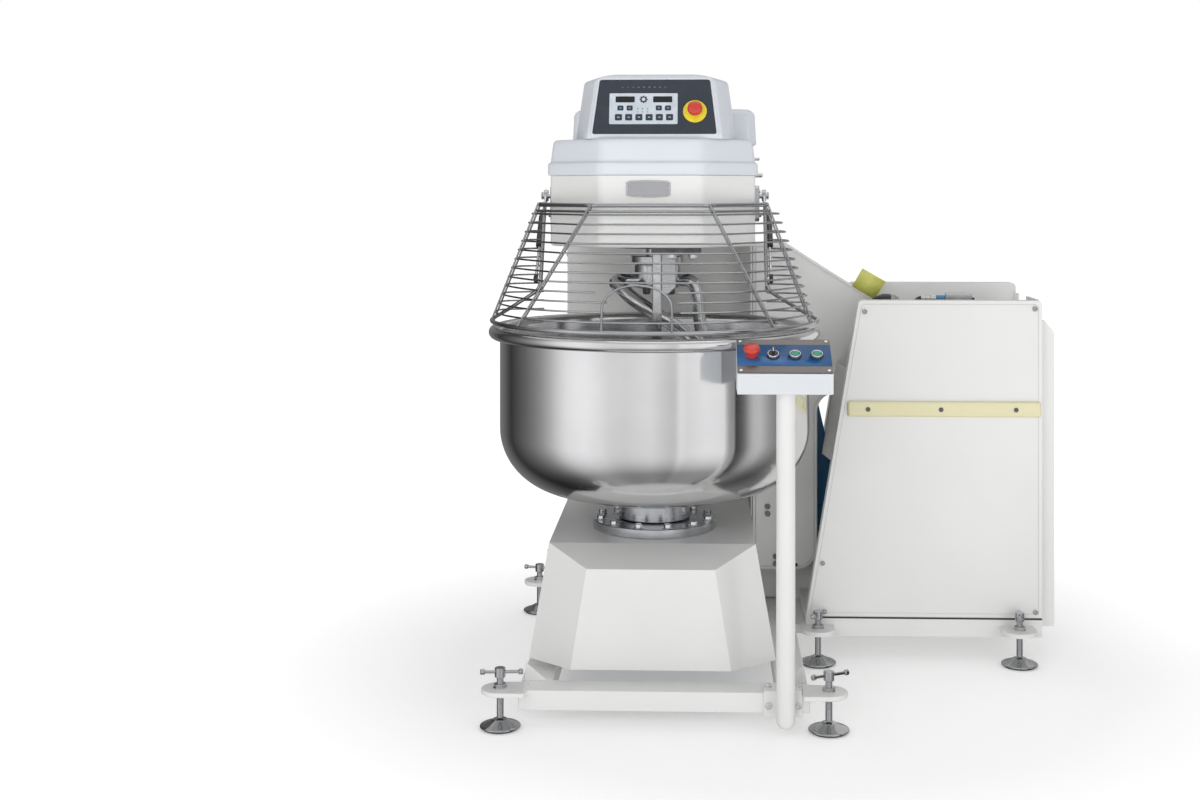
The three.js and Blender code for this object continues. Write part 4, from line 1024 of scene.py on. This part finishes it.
def spiral():
    bm = bmesh.new()
    helix = [hook_path(i / 90) for i in range(91)]
    sx, sy, _ = helix[0]
    shoulder = [(sx * share, SPIRAL_Y + (sy - SPIRAL_Y) * share, 1087) for share in (0, 0.3, 0.6, 0.85)]
    path = smooth_points([*shoulder, (sx * 1.02, SPIRAL_Y + (sy - SPIRAL_Y) * 1.02, 1080), *helix[3::4]], 5)
    tube(bm, path, [22.5 - 3.5 * min(1, i / 70) for i in range(len(path))])
    stations = [
        (0, 0, 1087), (58, -4, 1087), (98, -8, 1083), (117, -10, 1052), (124, -11, 980), (131, -12, 900),
        (118, -10, 720), (70, -4, 612),
    ]
    upright = smooth_points([*[(x, SPIRAL_Y + y, z) for x, y, z in stations], helix[-1]], 10)
    tube(bm, upright, [20.5 - 1.5 * min(1, i / 40) for i in range(len(upright))])
    hook = mesh_object("spiral_hook_forged", bm, FORGED)
    merge = hook.modifiers.new("forge_together", "REMESH")
    merge.mode = "VOXEL"
    merge.voxel_size = 0.0028
    merge.use_smooth_shade = True
    ease = hook.modifiers.new("ease", "SMOOTH")
    ease.factor = 0.6
    ease.iterations = 6
    hub = [
        (0, 1062), (58, 1062), (66, 1066), (70, 1074), (70, 1128), (66, 1134), (78, 1137), (79, 1140), (
            79, 1156,
        ),
        (77, 1158), (34, 1158), (34, 1300), (0, 1300),
    ]
    knob = [(0, 1044), (8, 1044.5), (11, 1048), (11.5, 1056), (11.5, 1070), (0, 1070)]
    parts = [hook, lathe("hub", hub, at(0, SPIRAL_Y, 0), FORGED, 72)]
    parts += [lathe("knob", knob, at(x, SPIRAL_Y - 22, 0), DARK_STEEL, 32) for x in (-30, 42)]
    show(joined("spiral_hook_assembly", parts), "spiral", ("spiral_hook",))
    skin("spiral_pulley", CAST_IRON, 0.8, "spiral", segments=2)
    skin("motor_pulley", CAST_IRON, 0.8, "motor_pulley", segments=2)
    skin("drive_belt", RUBBER, 0.8, "mixer", segments=2)
    skin("spiral_motor", BLUE, 3.0, "mixer")
    cooling_fins("spiral_motor_fins", (-90, 582), 92, 28, 1.8, (912, 1170), "mixer")


def breaker_bar():
    low, foot_low, into = 552, 1175, 1176
    blade = [(-12, into), (-12, low + 10), (-4, low), (12, low + 0.5), (12, into)]
    clamp = [(20, into), (20, 1062), (27, 1056.5), (36, 1058), (59, 1079), (59.5, into)]
    washer = [(0, 0), (14.5, 0), (14.5, 2), (0, 2)]
    bolt = [(0, 1.5), (12.4, 1.5), (13.4, 3), (13.4, 13), (11.6, 15.8), (0, 16)]
    parts = [
        prism("shaft", blade, (-6, 20), FORGED, "YZ", 5.0, 5),
        prism("clamp", clamp, (-10, 4), SHEET_STEEL, "XZ", 2.6, 4),
        block("foot", (-8, 130), (-45, 45), (foot_low, HEAD_Z - 0.3), DARK_STEEL, 2.4, 4),
    ]
    for x, y in ((48, -26), (107, -26), (107, 26)):
        parts.append(lathe("washer", washer, at(x, y, foot_low), CHROME, 36, (0, 0, -1)))
        parts.append(lathe("bolt", bolt, at(x, y, foot_low), CHROME, 6, (0, 0, -1)))
    show(joined("breaker_bar_finished", parts), "mixer", ("breaker_bar",))
    ring = [(84, 0), (112, 0), (114, 3), (114, 16), (110, 20), (84, 20)]
    show(lathe("seal_ring", ring, at(0, SPIRAL_Y, 1180.5), DARK_STEEL, 96), "mixer")


# ---- head ----
HEAD_Z, SKIRT_Z, SHOULDER_Z = 1201, 1388, 1483
HEAD_FACET, HEAD_HALF, HEAD_FRONT_Y, HEAD_CORNER_Y, HEAD_BACK_Y = 130, 273, -330, -180, 690


def head_outline(grow):
    half = HEAD_HALF + grow
    return [
        (-half, HEAD_BACK_Y + grow), (-half, HEAD_CORNER_Y - grow * 0.4), (
            -HEAD_FACET - grow * 0.4, HEAD_FRONT_Y - grow,
        ),
        (HEAD_FACET + grow * 0.4, HEAD_FRONT_Y - grow), (half, HEAD_CORNER_Y - grow * 0.4), (
            half, HEAD_BACK_Y + grow,
        ),
    ]


def round_corners(outline, r, steps=6):
    """Rounds an outline's corners to a radius; r may be one per corner."""
    made = []
    count = len(outline)
    for i, point in enumerate(outline):
        radius = r[i] if isinstance(r, (list, tuple)) else r
        here = Vector(point)
        before = (Vector(outline[i - 1]) - here).normalized()
        after = (Vector(outline[(i + 1) % count]) - here).normalized()
        half = before.angle(after) / 2
        cut = radius / math.tan(half)
        centre = here + (before + after).normalized() * (radius / math.sin(half))
        first, last = here + before * cut - centre, here + after * cut - centre
        swing = math.atan2(first.x * last.y - first.y * last.x, first.dot(last))
        start = math.atan2(first.y, first.x)
        for k in range(steps + 1):
            angle = start + swing * k / steps
            made.append((centre.x + radius * math.cos(angle), centre.y + radius * math.sin(angle)))
    return made


def stack(name, levels, material):
    """Skins a pile of outlines: each level is (outline, height), and a height may follow the outline."""
    rings = [[at(x, y, z(x, y) if callable(z) else z) for x, y in outline] for outline, z in levels]
    return skinned(name, rings, material)


def metal_head():
    radii = [14, 26, 34, 34, 26, 14]

    def level(grow, z):
        return round_corners(head_outline(grow), radii), z

    levels = []
    for k in range(7):
        angle = math.pi / 2 * k / 6
        levels.append(level(-9 * (1 - math.sin(angle)), HEAD_Z + 9 * (1 - math.cos(angle))))
    levels += [level(0, SKIRT_Z - 0.3), level(-6, SKIRT_Z - 0.3), level(-6, SKIRT_Z - 12)]
    body = bevelled(stack("head_body_folded", levels, CREAM), 0.8, 2, 50)
    show(body, "mixer", ("head_body",))
    pin = [(0, 0), (7, 0), (7, 22), (5.6, 24), (0, 24)]
    stud = [(0, 0), (4.5, 0), (4.5, 20), (3.5, 21.5), (0, 21.5)]
    studs = [
        lathe("pin", pin, at(HEAD_HALF + 5, 60, 1392), CHROME, 32, (1, 0, 0)),
        lathe("stud", stud, at(HEAD_HALF - 1, 60, 1437), CHROME, 28, (1, 0, 0)),
    ]
    show(joined("head_side_studs", studs), "mixer")
    # A darker plate across the head's underside: painted shade under the head.
    tray = stack("head_underside_shade", [level(-34, HEAD_Z - 0.9), level(-34, HEAD_Z + 0.4)], CREAM_SHADED)
    show(tray, "mixer")
    badge()


def badge():
    """A plain barrel-shaped plate where a maker would put a name; it carries none."""
    half, middle_x, middle_z, face = 57, -6.5, 1353, HEAD_FRONT_Y - 3.4
    outline = []
    for side in (1, -1):
        for k in range(13):
            x = half * (1 - 2 * k / 12) * side
            height = (19.5 + 2.4 * (1 - (x / half) ** 2) - 3.2 * max(0, abs(x / half) - 0.86) / 0.14) * side
            outline.append((middle_x + x, middle_z + height))
    inner = [(middle_x + (x - middle_x) * 0.93, middle_z + (z - middle_z) * 0.84) for x, z in outline]
    parts = [
        prism("plate", outline, (face, HEAD_FRONT_Y), SHEET_STEEL, "XZ", 1.1),
        prism("raised", inner, (face - 1.2, face + 0.2), WIRE_STEEL, "XZ", 0.6, 2),
    ]
    rivet = [(0, 0), (2.6, 0), (2.2, 1.2), (0, 1.8)]
    parts += [lathe("rivet", rivet, at(middle_x + x, face, middle_z), CHROME, 20, FORWARD) for x in (-54, 54)]
    show(joined("plain_badge", parts), "mixer")


def head_cover():
    radii = [16, 34, 44, 44, 34, 16]

    def level(grow, z):
        return round_corners(head_outline(grow), radii), z

    lip, edge = SKIRT_Z + 34, 12
    levels = [level(grow, SKIRT_Z + up) for grow, up in ((1.5, 0.1), (5.5, 0.6), (6.8, 3), (7, 7))]
    levels += [
        level(grow, lip + up)
        for grow, up in ((7, -7), (6.2, -2.5), (3.5, -0.4), (0.6, 0.4), (-0.4, 2), (-0.8, 8))
    ]
    levels += [level(-4.5, SKIRT_Z + 70), level(-6.5, SHOULDER_Z - edge)]
    for k in range(1, 6):
        angle = math.pi / 2 * k / 5
        levels.append(level(-6.5 - edge * (1 - math.cos(angle)), SHOULDER_Z - edge + edge * math.sin(angle)))
    show(stack("head_cover_moulded", levels, PLASTIC), "mixer", ("head_cover",))
    line = [(x, y, lip + 1.2) for x, y in round_corners(head_outline(0.2), radii)]
    # A darker cream wire in the cover's groove: painted shade in the groove.
    groove = wires("head_cover_groove_shade", [(line, 0.8, True)], CREAM_SHADED, 2)
    show(groove, "mixer")


PANEL_Y = -296                         # the control panel's lower edge
PANEL_TILT = math.radians(20)
PANEL_LEAN = math.tan(PANEL_TILT)
HOUSING_RADII = [30, 26, 13, 13, 26, 30]
HOUSING_X = 8                          # the housing stands a little to the right of the bowl's axis
HOUSING_TOP = 1643


def housing_front(z):
    return PANEL_Y + (z - SHOULDER_Z) * PANEL_LEAN


def housing_outline(half, wing, wing_y, back, front):
    corners = [(-wing, back), (-wing, wing_y), (-half, front), (half, front), (wing, wing_y), (wing, back)]
    return round_corners([(HOUSING_X + x, y) for x, y in corners], HOUSING_RADII)


def control_housing():
    def mix(a, b, t):
        return a + (b - a) * t

    levels = []
    for t, shrink in ((0, 0.6), (0.012, 0), (0.25, 0), (0.5, 0), (0.75, 0), (0.93, 0)):
        z = mix(SHOULDER_Z + 0.3, HOUSING_TOP, t)
        outline = housing_outline(
            mix(176, 156, t) - shrink, mix(215, 193, t) - shrink, mix(-150, -130, t), mix(210, 190, t) - shrink,
            housing_front(z) + shrink,
        )
        levels.append((outline, z))
    core = stack("core", levels + crown_levels(), PLASTIC)
    left, right, front, back = -246, 290, 190, 470
    steps = [(0.6, SHOULDER_Z + 0.3), (0, SHOULDER_Z + 2), (3, 1540)]
    for k in range(1, 7):
        angle = math.pi / 12 * k
        steps.append((3 + 26 * (1 - math.cos(angle)), 1559 + 26.5 * math.sin(angle)))
    rear_levels = []
    for shrink, z in steps:
        x, y = (left + shrink, right - shrink), (front + shrink, back - shrink)
        ring = [(x[0], y[1]), (x[0], y[0]), (x[1], y[0]), (x[1], y[1])]
        rear_levels.append((round_corners(ring, 30), z))
    parts = [core, stack("rear", rear_levels, PLASTIC)]
    show(joined("control_housing_moulded", parts), "mixer", ("control_housing",))
    panel_frame()


def crown_levels():
    """The crowned top: the outline draws in quickly at first and the middle stands highest."""
    levels = []
    steps, base = 8, 1632
    for k in range(1, steps + 1):
        angle = math.pi / 2 * k / steps
        rise = math.sin(angle)
        shrink = 44 * (1 - math.cos(angle)) ** 1.15
        front = housing_front(base) + 4 * rise + shrink * 0.62
        outline = housing_outline(157.5 - shrink, 194 - shrink, -131 + shrink * 0.6, 191 - shrink, front)
        levels.append((
            outline,
            lambda x, y, h=base + 17 * rise, c=9.5 * rise: h + c * (
                1 - min(1, abs(x - HOUSING_X) / 165) ** 2.2
            ),
        ))
    return levels


def on_panel(x, up, out):
    """A point on the control panel: x across, up its slope, out from the housing's front."""
    c, s = math.cos(PANEL_TILT), math.sin(PANEL_TILT)
    return at(HOUSING_X + x, PANEL_Y + up * s - out * c, SHOULDER_Z + up * c + out * s)


PANEL_OUT = (0, -math.cos(PANEL_TILT), math.sin(PANEL_TILT))


def panel_frame():
    """The raised frame moulded round the control panel."""
    outer = round_corners([(-170, 3), (170, 3), (151.5, 173), (-151.5, 173)], [14, 14, 12, 12], 8)
    inner = round_corners([(-161.6, 11.5), (161.6, 11.5), (144.6, 165.5), (-144.6, 165.5)], [5, 5, 7, 7], 8)
    crest = [tuple((a + b) / 2 for a, b in zip(p, q)) for p, q in zip(outer, inner)]
    places = [(outer, -3), (outer, 1.2), (crest, 4.6), (inner, 4.4), (inner, -3)]
    rings = [[on_panel(x, up, out) for x, up in outline] for outline, out in places]
    frame_ring = skinned("panel_frame", rings, PLASTIC, "joined")
    show(bevelled(frame_ring, 1.3, 3, 20), "mixer")


PANEL_STOP = (105, 74)


def control_panel():
    outline = round_corners([(-161, 12), (161, 12), (144, 165), (-144, 165)], [4.5, 4.5, 6.5, 6.5], 6)
    film, face = 3.6, 4.5
    parts = [
        extruded(on_panel, "plate", outline, (0.3, film), NAVY, 0.6),
        extruded(on_panel, "membrane", rounded((-118, 60), (39, 126), 2.5), (film, face), KEYPAD, 0.3),
    ]
    for x in (-102, -4):
        parts.append(
            extruded(on_panel, "display", rounded((x, x + 50), (100, 117), 2), (face, 5.0), DISPLAY, 0.2)
        )
    for x in (-97, -73, 3, 27):
        parts += key(x, 77, 16, 14)
    for x in (-44, -31, -18):
        for up, colour in ((82, GREEN), (73, RED)):
            lamp = rounded((x - 1.8, x + 1.8), (up - 1.2, up + 1.2), 0.8)
            parts.append(extruded(on_panel, "lamp", lamp, (face, 4.9), colour, 0))
    for index in range(6):
        parts += key(-103 + index * 26.6, 49, 18.5, 18)
    parts += gear_icon(-29, 108.5)
    for index in range(9):
        x = -84 + index * 14
        mark = rounded((x - 3.6, x + 3.6), (141.5, 145.5), 1.6)
        parts.append(extruded(on_panel, "mark", mark, (film, 3.9), DARK_STEEL, 0))
    ring = [(11.8, 0), (31, 0), (31, 3.0), (29.8, 4.6), (17, 5.2), (11.8, 5.2)]
    parts.append(lathe("yellow_ring", ring, on_panel(*PANEL_STOP, film), YELLOW, 72, PANEL_OUT))
    show(joined("control_panel_detailed", parts), "mixer", ("control_panel",))
    mushroom = [
        (0, 6), (11.5, 6), (11.5, 22), (13, 23), (19, 23.4), (19.6, 25.4), (19.2, 29), (16.5, 33), (11, 35),
        (0, 35.8),
    ]
    stop = lathe("panel_mushroom", mushroom, on_panel(*PANEL_STOP, 0), RED, 64, PANEL_OUT)
    show(stop, "panel_stop_button", ("panel_stop_button",))


def key(x, up, wide, tall):
    """A raised membrane key with a pale mark on its dark cap."""
    cx, cy, half, high = x + wide / 2, up + tall / 2, wide * 0.16, tall * 0.06
    return [
        extruded(on_panel, "key", rounded((x, x + wide), (up, up + tall), 3), (4.5, 5.2), KEY_INK, 0.35),
        extruded(
            on_panel, "mark", rounded((cx - half, cx + half), (cy - high, cy + high), 0.8), (5.2, 5.4), KEYPAD,
            0,
        ),
    ]


def gear_icon(x, up):
    teeth = []
    for i in range(8):
        for offset, r in ((-0.26, 8.2), (-0.15, 10.6), (0.15, 10.6), (0.26, 8.2)):
            angle = TAU * i / 8 + offset
            teeth.append((x + r * math.cos(angle), up + r * math.sin(angle)))
    hole = [(0, 0), (4.6, 0), (4.6, 0.2), (0, 0.2)]
    return [
        extruded(on_panel, "gear", teeth, (4.5, 5.0), KEY_INK, 0),
        lathe("gear_hole", hole, on_panel(x, up, 5.0), KEYPAD, 24, PANEL_OUT),
    ]


# ---- guard ----
HINGE_Y, HINGE_Z, GUARD_TOP_Z, RING_Z, RING_R = 30, 1334, 1311, 992, 450
GUARD_TOP = [(-305, 0), (-305, -175), (-151, -368), (151, -368), (305, -175), (305, 0)]
RING_STATIONS = [180, 190, 219, 315, 341, 358]   # where each upright meets the ring, in degrees
ARCH_LOW, ARCH_HIGH = 1030, 1105       # the wires between these heights stop at the arched opening
STRUT_X, STRUT_TOP, STRUT_EYE = 318, (62, 1283), (-118, 1110)


def guard_station(index, level):
    tx, ty = GUARD_TOP[index]
    angle = math.radians(RING_STATIONS[index])
    bx, by = RING_R * math.cos(angle), RING_R * math.sin(angle)
    return tx + (bx - tx) * level, ty + (by - ty) * level, GUARD_TOP_Z + (RING_Z - GUARD_TOP_Z) * level


def guard_line(level, start=0, end=5):
    """The guard's outline at a level, from its top bar at 0 to its ring at 1."""
    corners = [Vector(guard_station(i, level)) for i in range(6)]
    steps = 14

    def on_ring(angle, z):
        return Vector((RING_R * math.cos(angle), RING_R * math.sin(angle), z))

    made = []
    for i in range(start, end):
        angles = [math.radians(RING_STATIONS[i]), math.radians(RING_STATIONS[i + 1])]
        for k in range(steps + (1 if i == end - 1 else 0)):
            t = k / steps
            straight = corners[i].lerp(corners[i + 1], t)
            bow = on_ring(angles[0] + (angles[1] - angles[0]) * t, straight.z)
            chord = on_ring(angles[0], straight.z).lerp(on_ring(angles[1], straight.z), t)
            made.append(tuple(straight + (bow - chord) * level ** 1.6))
    return made


def rounded_path(points, r=24, steps=6):
    """Rounds a path's corners so that a wire bends instead of kinking."""
    made = [points[0]]
    for before, here, after in zip(points, points[1:], points[2:]):
        here, before, after = Vector(here), Vector(before), Vector(after)
        a, b = (before - here), (after - here)
        if min(a.length, b.length) < 1e-3 or a.angle(b) > math.radians(172):
            made.append(tuple(here))
            continue
        cut = min(r, a.length * 0.45, b.length * 0.45)
        p, q = here + a.normalized() * cut, here + b.normalized() * cut
        for k in range(steps + 1):
            t = k / steps
            made.append(tuple(p.lerp(here, t).lerp(here.lerp(q, t), t)))
    made.append(points[-1])
    return made


def guard():
    paths = []

    def wire(points, r):
        paths.append((points, r, False))

    wire(rounded_path([guard_station(i, 0) for i in range(6)], 22), 6)
    second = rounded_path([guard_station(i, 0.01) for i in range(1, 5)], 22)
    wire([(x * 1.006, y - 3, z - 13) for x, y, z in second], 3.6)
    wire(rounded_path(guard_line(1), 20), 6)
    count = 13
    for row in range(1, count):
        line = guard_line(row / count, 1, 4)
        path = [*reversed(guard_return(line[1], line[0], 14)), *line, *guard_return(line[-2], line[-1], 40)]
        spans = [path]
        if ARCH_LOW < path[0][2] < ARCH_HIGH:
            spans = [[p for p in path if p[0] < -106], [p for p in path if p[0] > 42]]
        for span in spans:
            wire(rounded_path(span, 34, 8), 2.5)
    for index in (1, 2, 3, 4):
        for shift in (-4.5, 4.5):
            low, high = Vector(guard_station(index, 1.0)), Vector(guard_station(index, -0.015))
            inward = Vector((-math.copysign(1.0, low.x), 0.6, 0)).normalized() * 1.5
            along = Vector((0.7, -0.7 if index > 2 else 0.7, 0)).normalized() * shift
            wire([tuple(high + inward + along), tuple(low + inward + along)], 2.6)
    arch_window(wire)
    for side, end in ((-1, 0), (1, 5)):
        top = [(side * 305, 0, GUARD_TOP_Z), (side * 305, -20, GUARD_TOP_Z - 10)]
        lower = [(side * 306, -126, 1082), (side * 385, -80, 1032), guard_station(end, 1)]
        wire(rounded_path([*top, *lower], 26), 5)
    made = wires("guard_wires", paths, WIRE_STEEL, 5)
    for spline in made.data.splines:
        spline.type = "POLY"
    show(made, "guard", ("guard",))
    guard_plates()


def guard_return(before, corner, reach):
    """Where a wire runs on past the guard's side rib, turns round and goes back towards the strut."""
    before, corner = Vector(before), Vector(corner)
    side = math.copysign(1, corner.x)
    turn = corner + (corner - before).normalized() * reach
    back = turn + Vector((-side * 3, 84, 0))
    return [tuple(turn), tuple(back), (side * 312, back.y + 30, back.z)]


def front_point(x, z):
    """A point on the guard's front face."""
    level = (GUARD_TOP_Z - z) / (GUARD_TOP_Z - RING_Z)
    nearest = min(guard_line(level, 2, 3), key=lambda p: abs(p[0] - x))
    return x, nearest[1], z


def arch_window(wire):
    left, right, spring, top = -121, 56, RING_Z + 62, 1109
    middle_x, half = (left + right) / 2, (right - left) / 2
    points = [(left, RING_Z + 4), (left, RING_Z + 40)]
    for k in range(13):
        angle = math.pi - math.pi * k / 12
        points.append((middle_x + half * math.cos(angle), spring + (top - spring) * math.sin(angle)))
    points += [(right, RING_Z + 40), (right, RING_Z + 4)]
    wire([(x, y - 3, z) for x, y, z in (front_point(x, z) for x, z in points)], 3.2)


def guard_plates():
    """Flat hanger plates, their hub bosses and the struts' lower studs."""
    hanger = [
        (HINGE_Y + 17, HINGE_Z), *arc(HINGE_Y, HINGE_Z, 17, 0, 180, 12), (-24, 1310), (-134, 1092), (
            -122, 1074,
        ),
        (-100, 1084), (8, 1296),
    ]
    boss = [(8.6, 0), (16, 0), (16, 10), (14.5, 12), (8.6, 12)]
    stud = [(0, 0), (5, 0), (5, 21), (4, 22), (0, 22)]
    parts = []
    for side in (-1, 1):
        x, out = side * 305, (side, 0, 0)
        parts.append(prism("hanger", hanger, sorted((x - side * 3, x + side * 3)), SHEET_STEEL, "YZ", 1.2))
        parts.append(lathe("boss", boss, at(x - side * 6, HINGE_Y, HINGE_Z), SHEET_STEEL, 40, out))
        parts.append(lathe("stud", stud, at(x - side, *STRUT_EYE), CHROME, 28, out))
    show(joined("guard_hangers", parts), "guard")
    for side, name in SIDES:
        bracket_skin(side, name)


def bracket_skin(side, name):
    near, out = side * 273.3, (side, 0, 0)
    pin = [(0, 0), (8, 0), (8, 42), (7, 44.5), (0, 44.5)]
    cap = [(0, 0), (12, 0), (12, 3), (10, 4.5), (0, 4.5)]
    stud = [(0, 0), (5, 0), (5, 51), (4, 52.5), (0, 52.5)]
    parts = [
        prism(
            "plate", rounded((0, 95), (1262, 1362), 14), sorted((near, side * 291)), SHEET_STEEL, "YZ", 2.5, 4,
        ),
        lathe("pin", pin, at(near, HINGE_Y, HINGE_Z), CHROME, 36, out),
        lathe("cap", cap, at(side * 313.5, HINGE_Y, HINGE_Z), CHROME, 6, out),
        lathe("stud", stud, at(near, *STRUT_TOP), CHROME, 28, out),
    ]
    for y, z in ((76, 1344), (76, 1280), (16, 1280)):
        parts.append(hex_bolt("bolt", at(side * 291, y, z), out, 11, 6, CHROME))
    show(joined(f"guard_bracket_{name}_skin", parts), "mixer", (f"guard_bracket_{name}",))


def strut(side, name):
    top, eye = Vector((side * STRUT_X, *STRUT_TOP)), Vector((side * STRUT_X, *STRUT_EYE))
    down = (eye - top).normalized()
    length = (eye - top).length
    sleeve = [(4.4, 7), (7, 8), (10, 12), (10, 126), (9, 129), (4.4, 130)]
    upper_eye = [(5.4, -5), (11, -5), (12, -4), (12, 4), (11, 5), (5.4, 5)]
    rod = [(0, 40), (4, 40), (4, length - 12), (0, length - 12)]
    lower_eye = [(8.2, -5), (12.2, -5), (13, -4), (13, 4), (12.2, 5), (8.2, 5)]
    tube_parts = [
        lathe("tube", sleeve, at(*top), BLACK, 40, down), lathe(
            "eye", upper_eye, at(*top), BLACK, 40, (1, 0, 0),
        ),
    ]
    show(
        joined(f"strut_tube_{name}_skin", tube_parts), f"strut_tube_{name}",
        (f"strut_tube_{name}",),
    )
    rod_parts = [
        lathe("rod", rod, at(*top), CHROME, 32, down), lathe("eye", lower_eye, at(*eye), BLACK, 40, (1, 0, 0)),
    ]
    show(joined(f"strut_rod_{name}_skin", rod_parts), f"strut_rod_{name}", (f"strut_rod_{name}",))


# ---- studio ----
def softbox(name, location, target, size, power):
    light = bpy.data.lights.new(name, "AREA")
    light.shape = "RECTANGLE"
    light.size, light.size_y = size
    light.energy = power
    obj = bpy.data.objects.new(name, light)
    obj.location = location
    obj.rotation_euler = (Vector(target) - Vector(location)).to_track_quat("-Z", "Y").to_euler()
    bpy.context.scene.collection.objects.link(obj)


# The studio's walls as seen from the mixer: (degrees to the right of the operator's place, brightness).
WALLS = [
    (-180, 0.30), (-132, 0.14), (-118, 0.04), (-107, 0.09), (-97, 0.15), (-89, 0.23), (-82, 0.33), (-75, 0.50), (
        -68.5, 0.72,
    ),
    (-62, 0.92), (-55.5, 1.0), (-49, 1.03), (-38, 0.885), (-33, 0.787), (-23, 0.745), (-7, 0.85), (6, 0.68), (
        10, 0.66,
    ),
    (12, 0.95), (18, 0.86), (30, 0.94), (46, 0.90), (50, 0.86), (52, 0.05), (55, 0.05), (62, 0.16), (70, 0.56), (
        77, 0.60,
    ),
    (87, 0.36), (100, 0.22), (132, 0.5), (180, 0.30),
]
WALL_R, WALL_LOW, WALL_HIGH = 3.4, -9.0, 3.2
WALL_FADE = (-3.6, 0.2, 0.32, 1.0)     # from and to these heights the walls brighten between these shares
AMBIENT = 0.58
FLOOR_GLOW = (0.26, 0.60, 0.9, 2.1)    # the paper's glow near and far, and the distances where it changes
CAMERA_PLACE, CAMERA_YAW, CAMERA_LENS = (-0.220, -4.3574, 1.350), 1.93, 46.2
CAMERA_SHIFT = (-0.0397, -0.175)       # the camera is level, as the photographer's was


def reflected_walls():
    """Upright walls round the mixer that only show in polished metal."""
    rows = [[(x, y, z) for x, y in circle(0, 0, WALL_R, 96)] for z in (WALL_LOW, WALL_HIGH)]
    paint = bpy.data.materials.new("studio_walls")
    paint.use_nodes = True
    tree = paint.node_tree
    tree.nodes.clear()

    def node(kind, **settings):
        made = tree.nodes.new(kind)
        for key, value in settings.items():
            setattr(made, key, value)
        return made

    def math_node(operation, a, b):
        made = node("ShaderNodeMath", operation=operation)
        for socket, value in zip(made.inputs, (a, b)):
            if isinstance(value, (int, float)):
                socket.default_value = value
            else:
                tree.links.new(value, socket)
        return made.outputs[0]

    split = node("ShaderNodeSeparateXYZ")
    tree.links.new(node("ShaderNodeTexCoord").outputs["Object"], split.inputs[0])
    bearing = math_node("ARCTAN2", split.outputs[0], math_node("MULTIPLY", split.outputs[1], -1.0))
    ramp = node("ShaderNodeValToRGB")
    tree.links.new(math_node("ADD", math_node("DIVIDE", bearing, TAU), 0.5), ramp.inputs[0])
    points = ramp.color_ramp.elements
    while len(points) < len(WALLS):
        points.new(1.0)
    for point, (degrees, level) in zip(points, WALLS):
        point.position = degrees / 360 + 0.5
        point.color = (level, level, level * 1.01, 1)
    glow = node("ShaderNodeEmission")
    tree.links.new(ramp.outputs[0], glow.inputs["Color"])
    fade = node("ShaderNodeMapRange", interpolation_type="SMOOTHSTEP")
    tree.links.new(split.outputs[2], fade.inputs[0])
    for socket, value in zip(fade.inputs[1:5], WALL_FADE):
        socket.default_value = value
    tree.links.new(fade.outputs[0], glow.inputs["Strength"])
    tree.links.new(glow.outputs[0], node("ShaderNodeOutputMaterial").inputs["Surface"])
    walls = skinned("studio_walls", rows, paint, "open")
    for ray in ("camera", "diffuse", "transmission", "shadow", "volume_scatter"):
        setattr(walls, f"visible_{ray}", False)


def studio_world():
    """White behind the mixer, and a softer even light from all round."""
    world = bpy.data.worlds.new("studio_world")
    world.use_nodes = True
    tree = world.node_tree
    background = tree.nodes["Background"]
    seen = tree.nodes.new("ShaderNodeMix")
    seen.data_type = "RGBA"
    tree.links.new(tree.nodes.new("ShaderNodeLightPath").outputs["Is Camera Ray"], seen.inputs["Factor"])
    seen.inputs["A"].default_value = (AMBIENT, AMBIENT, AMBIENT, 1)
    seen.inputs["B"].default_value = (1, 1, 1, 1)
    tree.links.new(seen.outputs["Result"], background.inputs["Color"])
    return world


def studio():
    bpy.ops.mesh.primitive_plane_add(size=60, location=(0, 0, 0))
    floor = bpy.context.active_object
    floor.name = "studio_floor"
    paper = Shader("studio_paper", (0.86, 0.86, 0.86), 0.75, Emission_Color=(1, 1, 1, 1))
    paper.vary_color(paper.noise(0.8, 4), (0.985, 0.985, 0.985))
    paper.bump(paper.noise(160, 3), 0.04, 0.0006)
    distance = paper.node("ShaderNodeVectorMath", operation="LENGTH")
    paper.link(paper.position, distance.inputs[0])
    paper.link(paper.remap(distance.outputs["Value"], *FLOOR_GLOW), paper.shader.inputs["Emission Strength"])
    floor.data.materials.append(paper.material)
    floor.visible_glossy = False
    reflected_walls()
    bpy.context.scene.world = studio_world()
    bpy.context.scene.view_settings.view_transform = "Standard"

    softbox("key", (-1.3, -4.6, 1.9), (0, 0, 0.6), (2.4, 1.8), 44)
    softbox("fill", (2.7, -3.8, 1.1), (0.1, 0, 0.6), (1.4, 1.8), 22)
    softbox("top", (0, 0.2, 4.4), (0, 0, 0.6), (3.2, 3.2), 24)

    camera_data = bpy.data.cameras.new("camera")
    camera = bpy.data.objects.new("camera", camera_data)
    bpy.context.scene.collection.objects.link(camera)
    bpy.context.scene.camera = camera
    camera_data.sensor_width = 36
    camera_data.lens = CAMERA_LENS
    camera_data.shift_x, camera_data.shift_y = CAMERA_SHIFT
    camera.location = CAMERA_PLACE
    camera.rotation_euler = (math.pi / 2, 0, math.radians(CAMERA_YAW))


# ---- assembly ----
floor_frame()
for foot, (foot_x, foot_y) in FEET.items():
    levelling_foot(foot, foot_x, foot_y)
foot_lugs()
cabinet()
tilting_drive()
control_post()
remote_control()
mixer_base()
lift_arm()
bowl()
spiral()
breaker_bar()
metal_head()
head_cover()
control_housing()
control_panel()
guard()
for side, name in SIDES:
    strut(side, name)
studio()
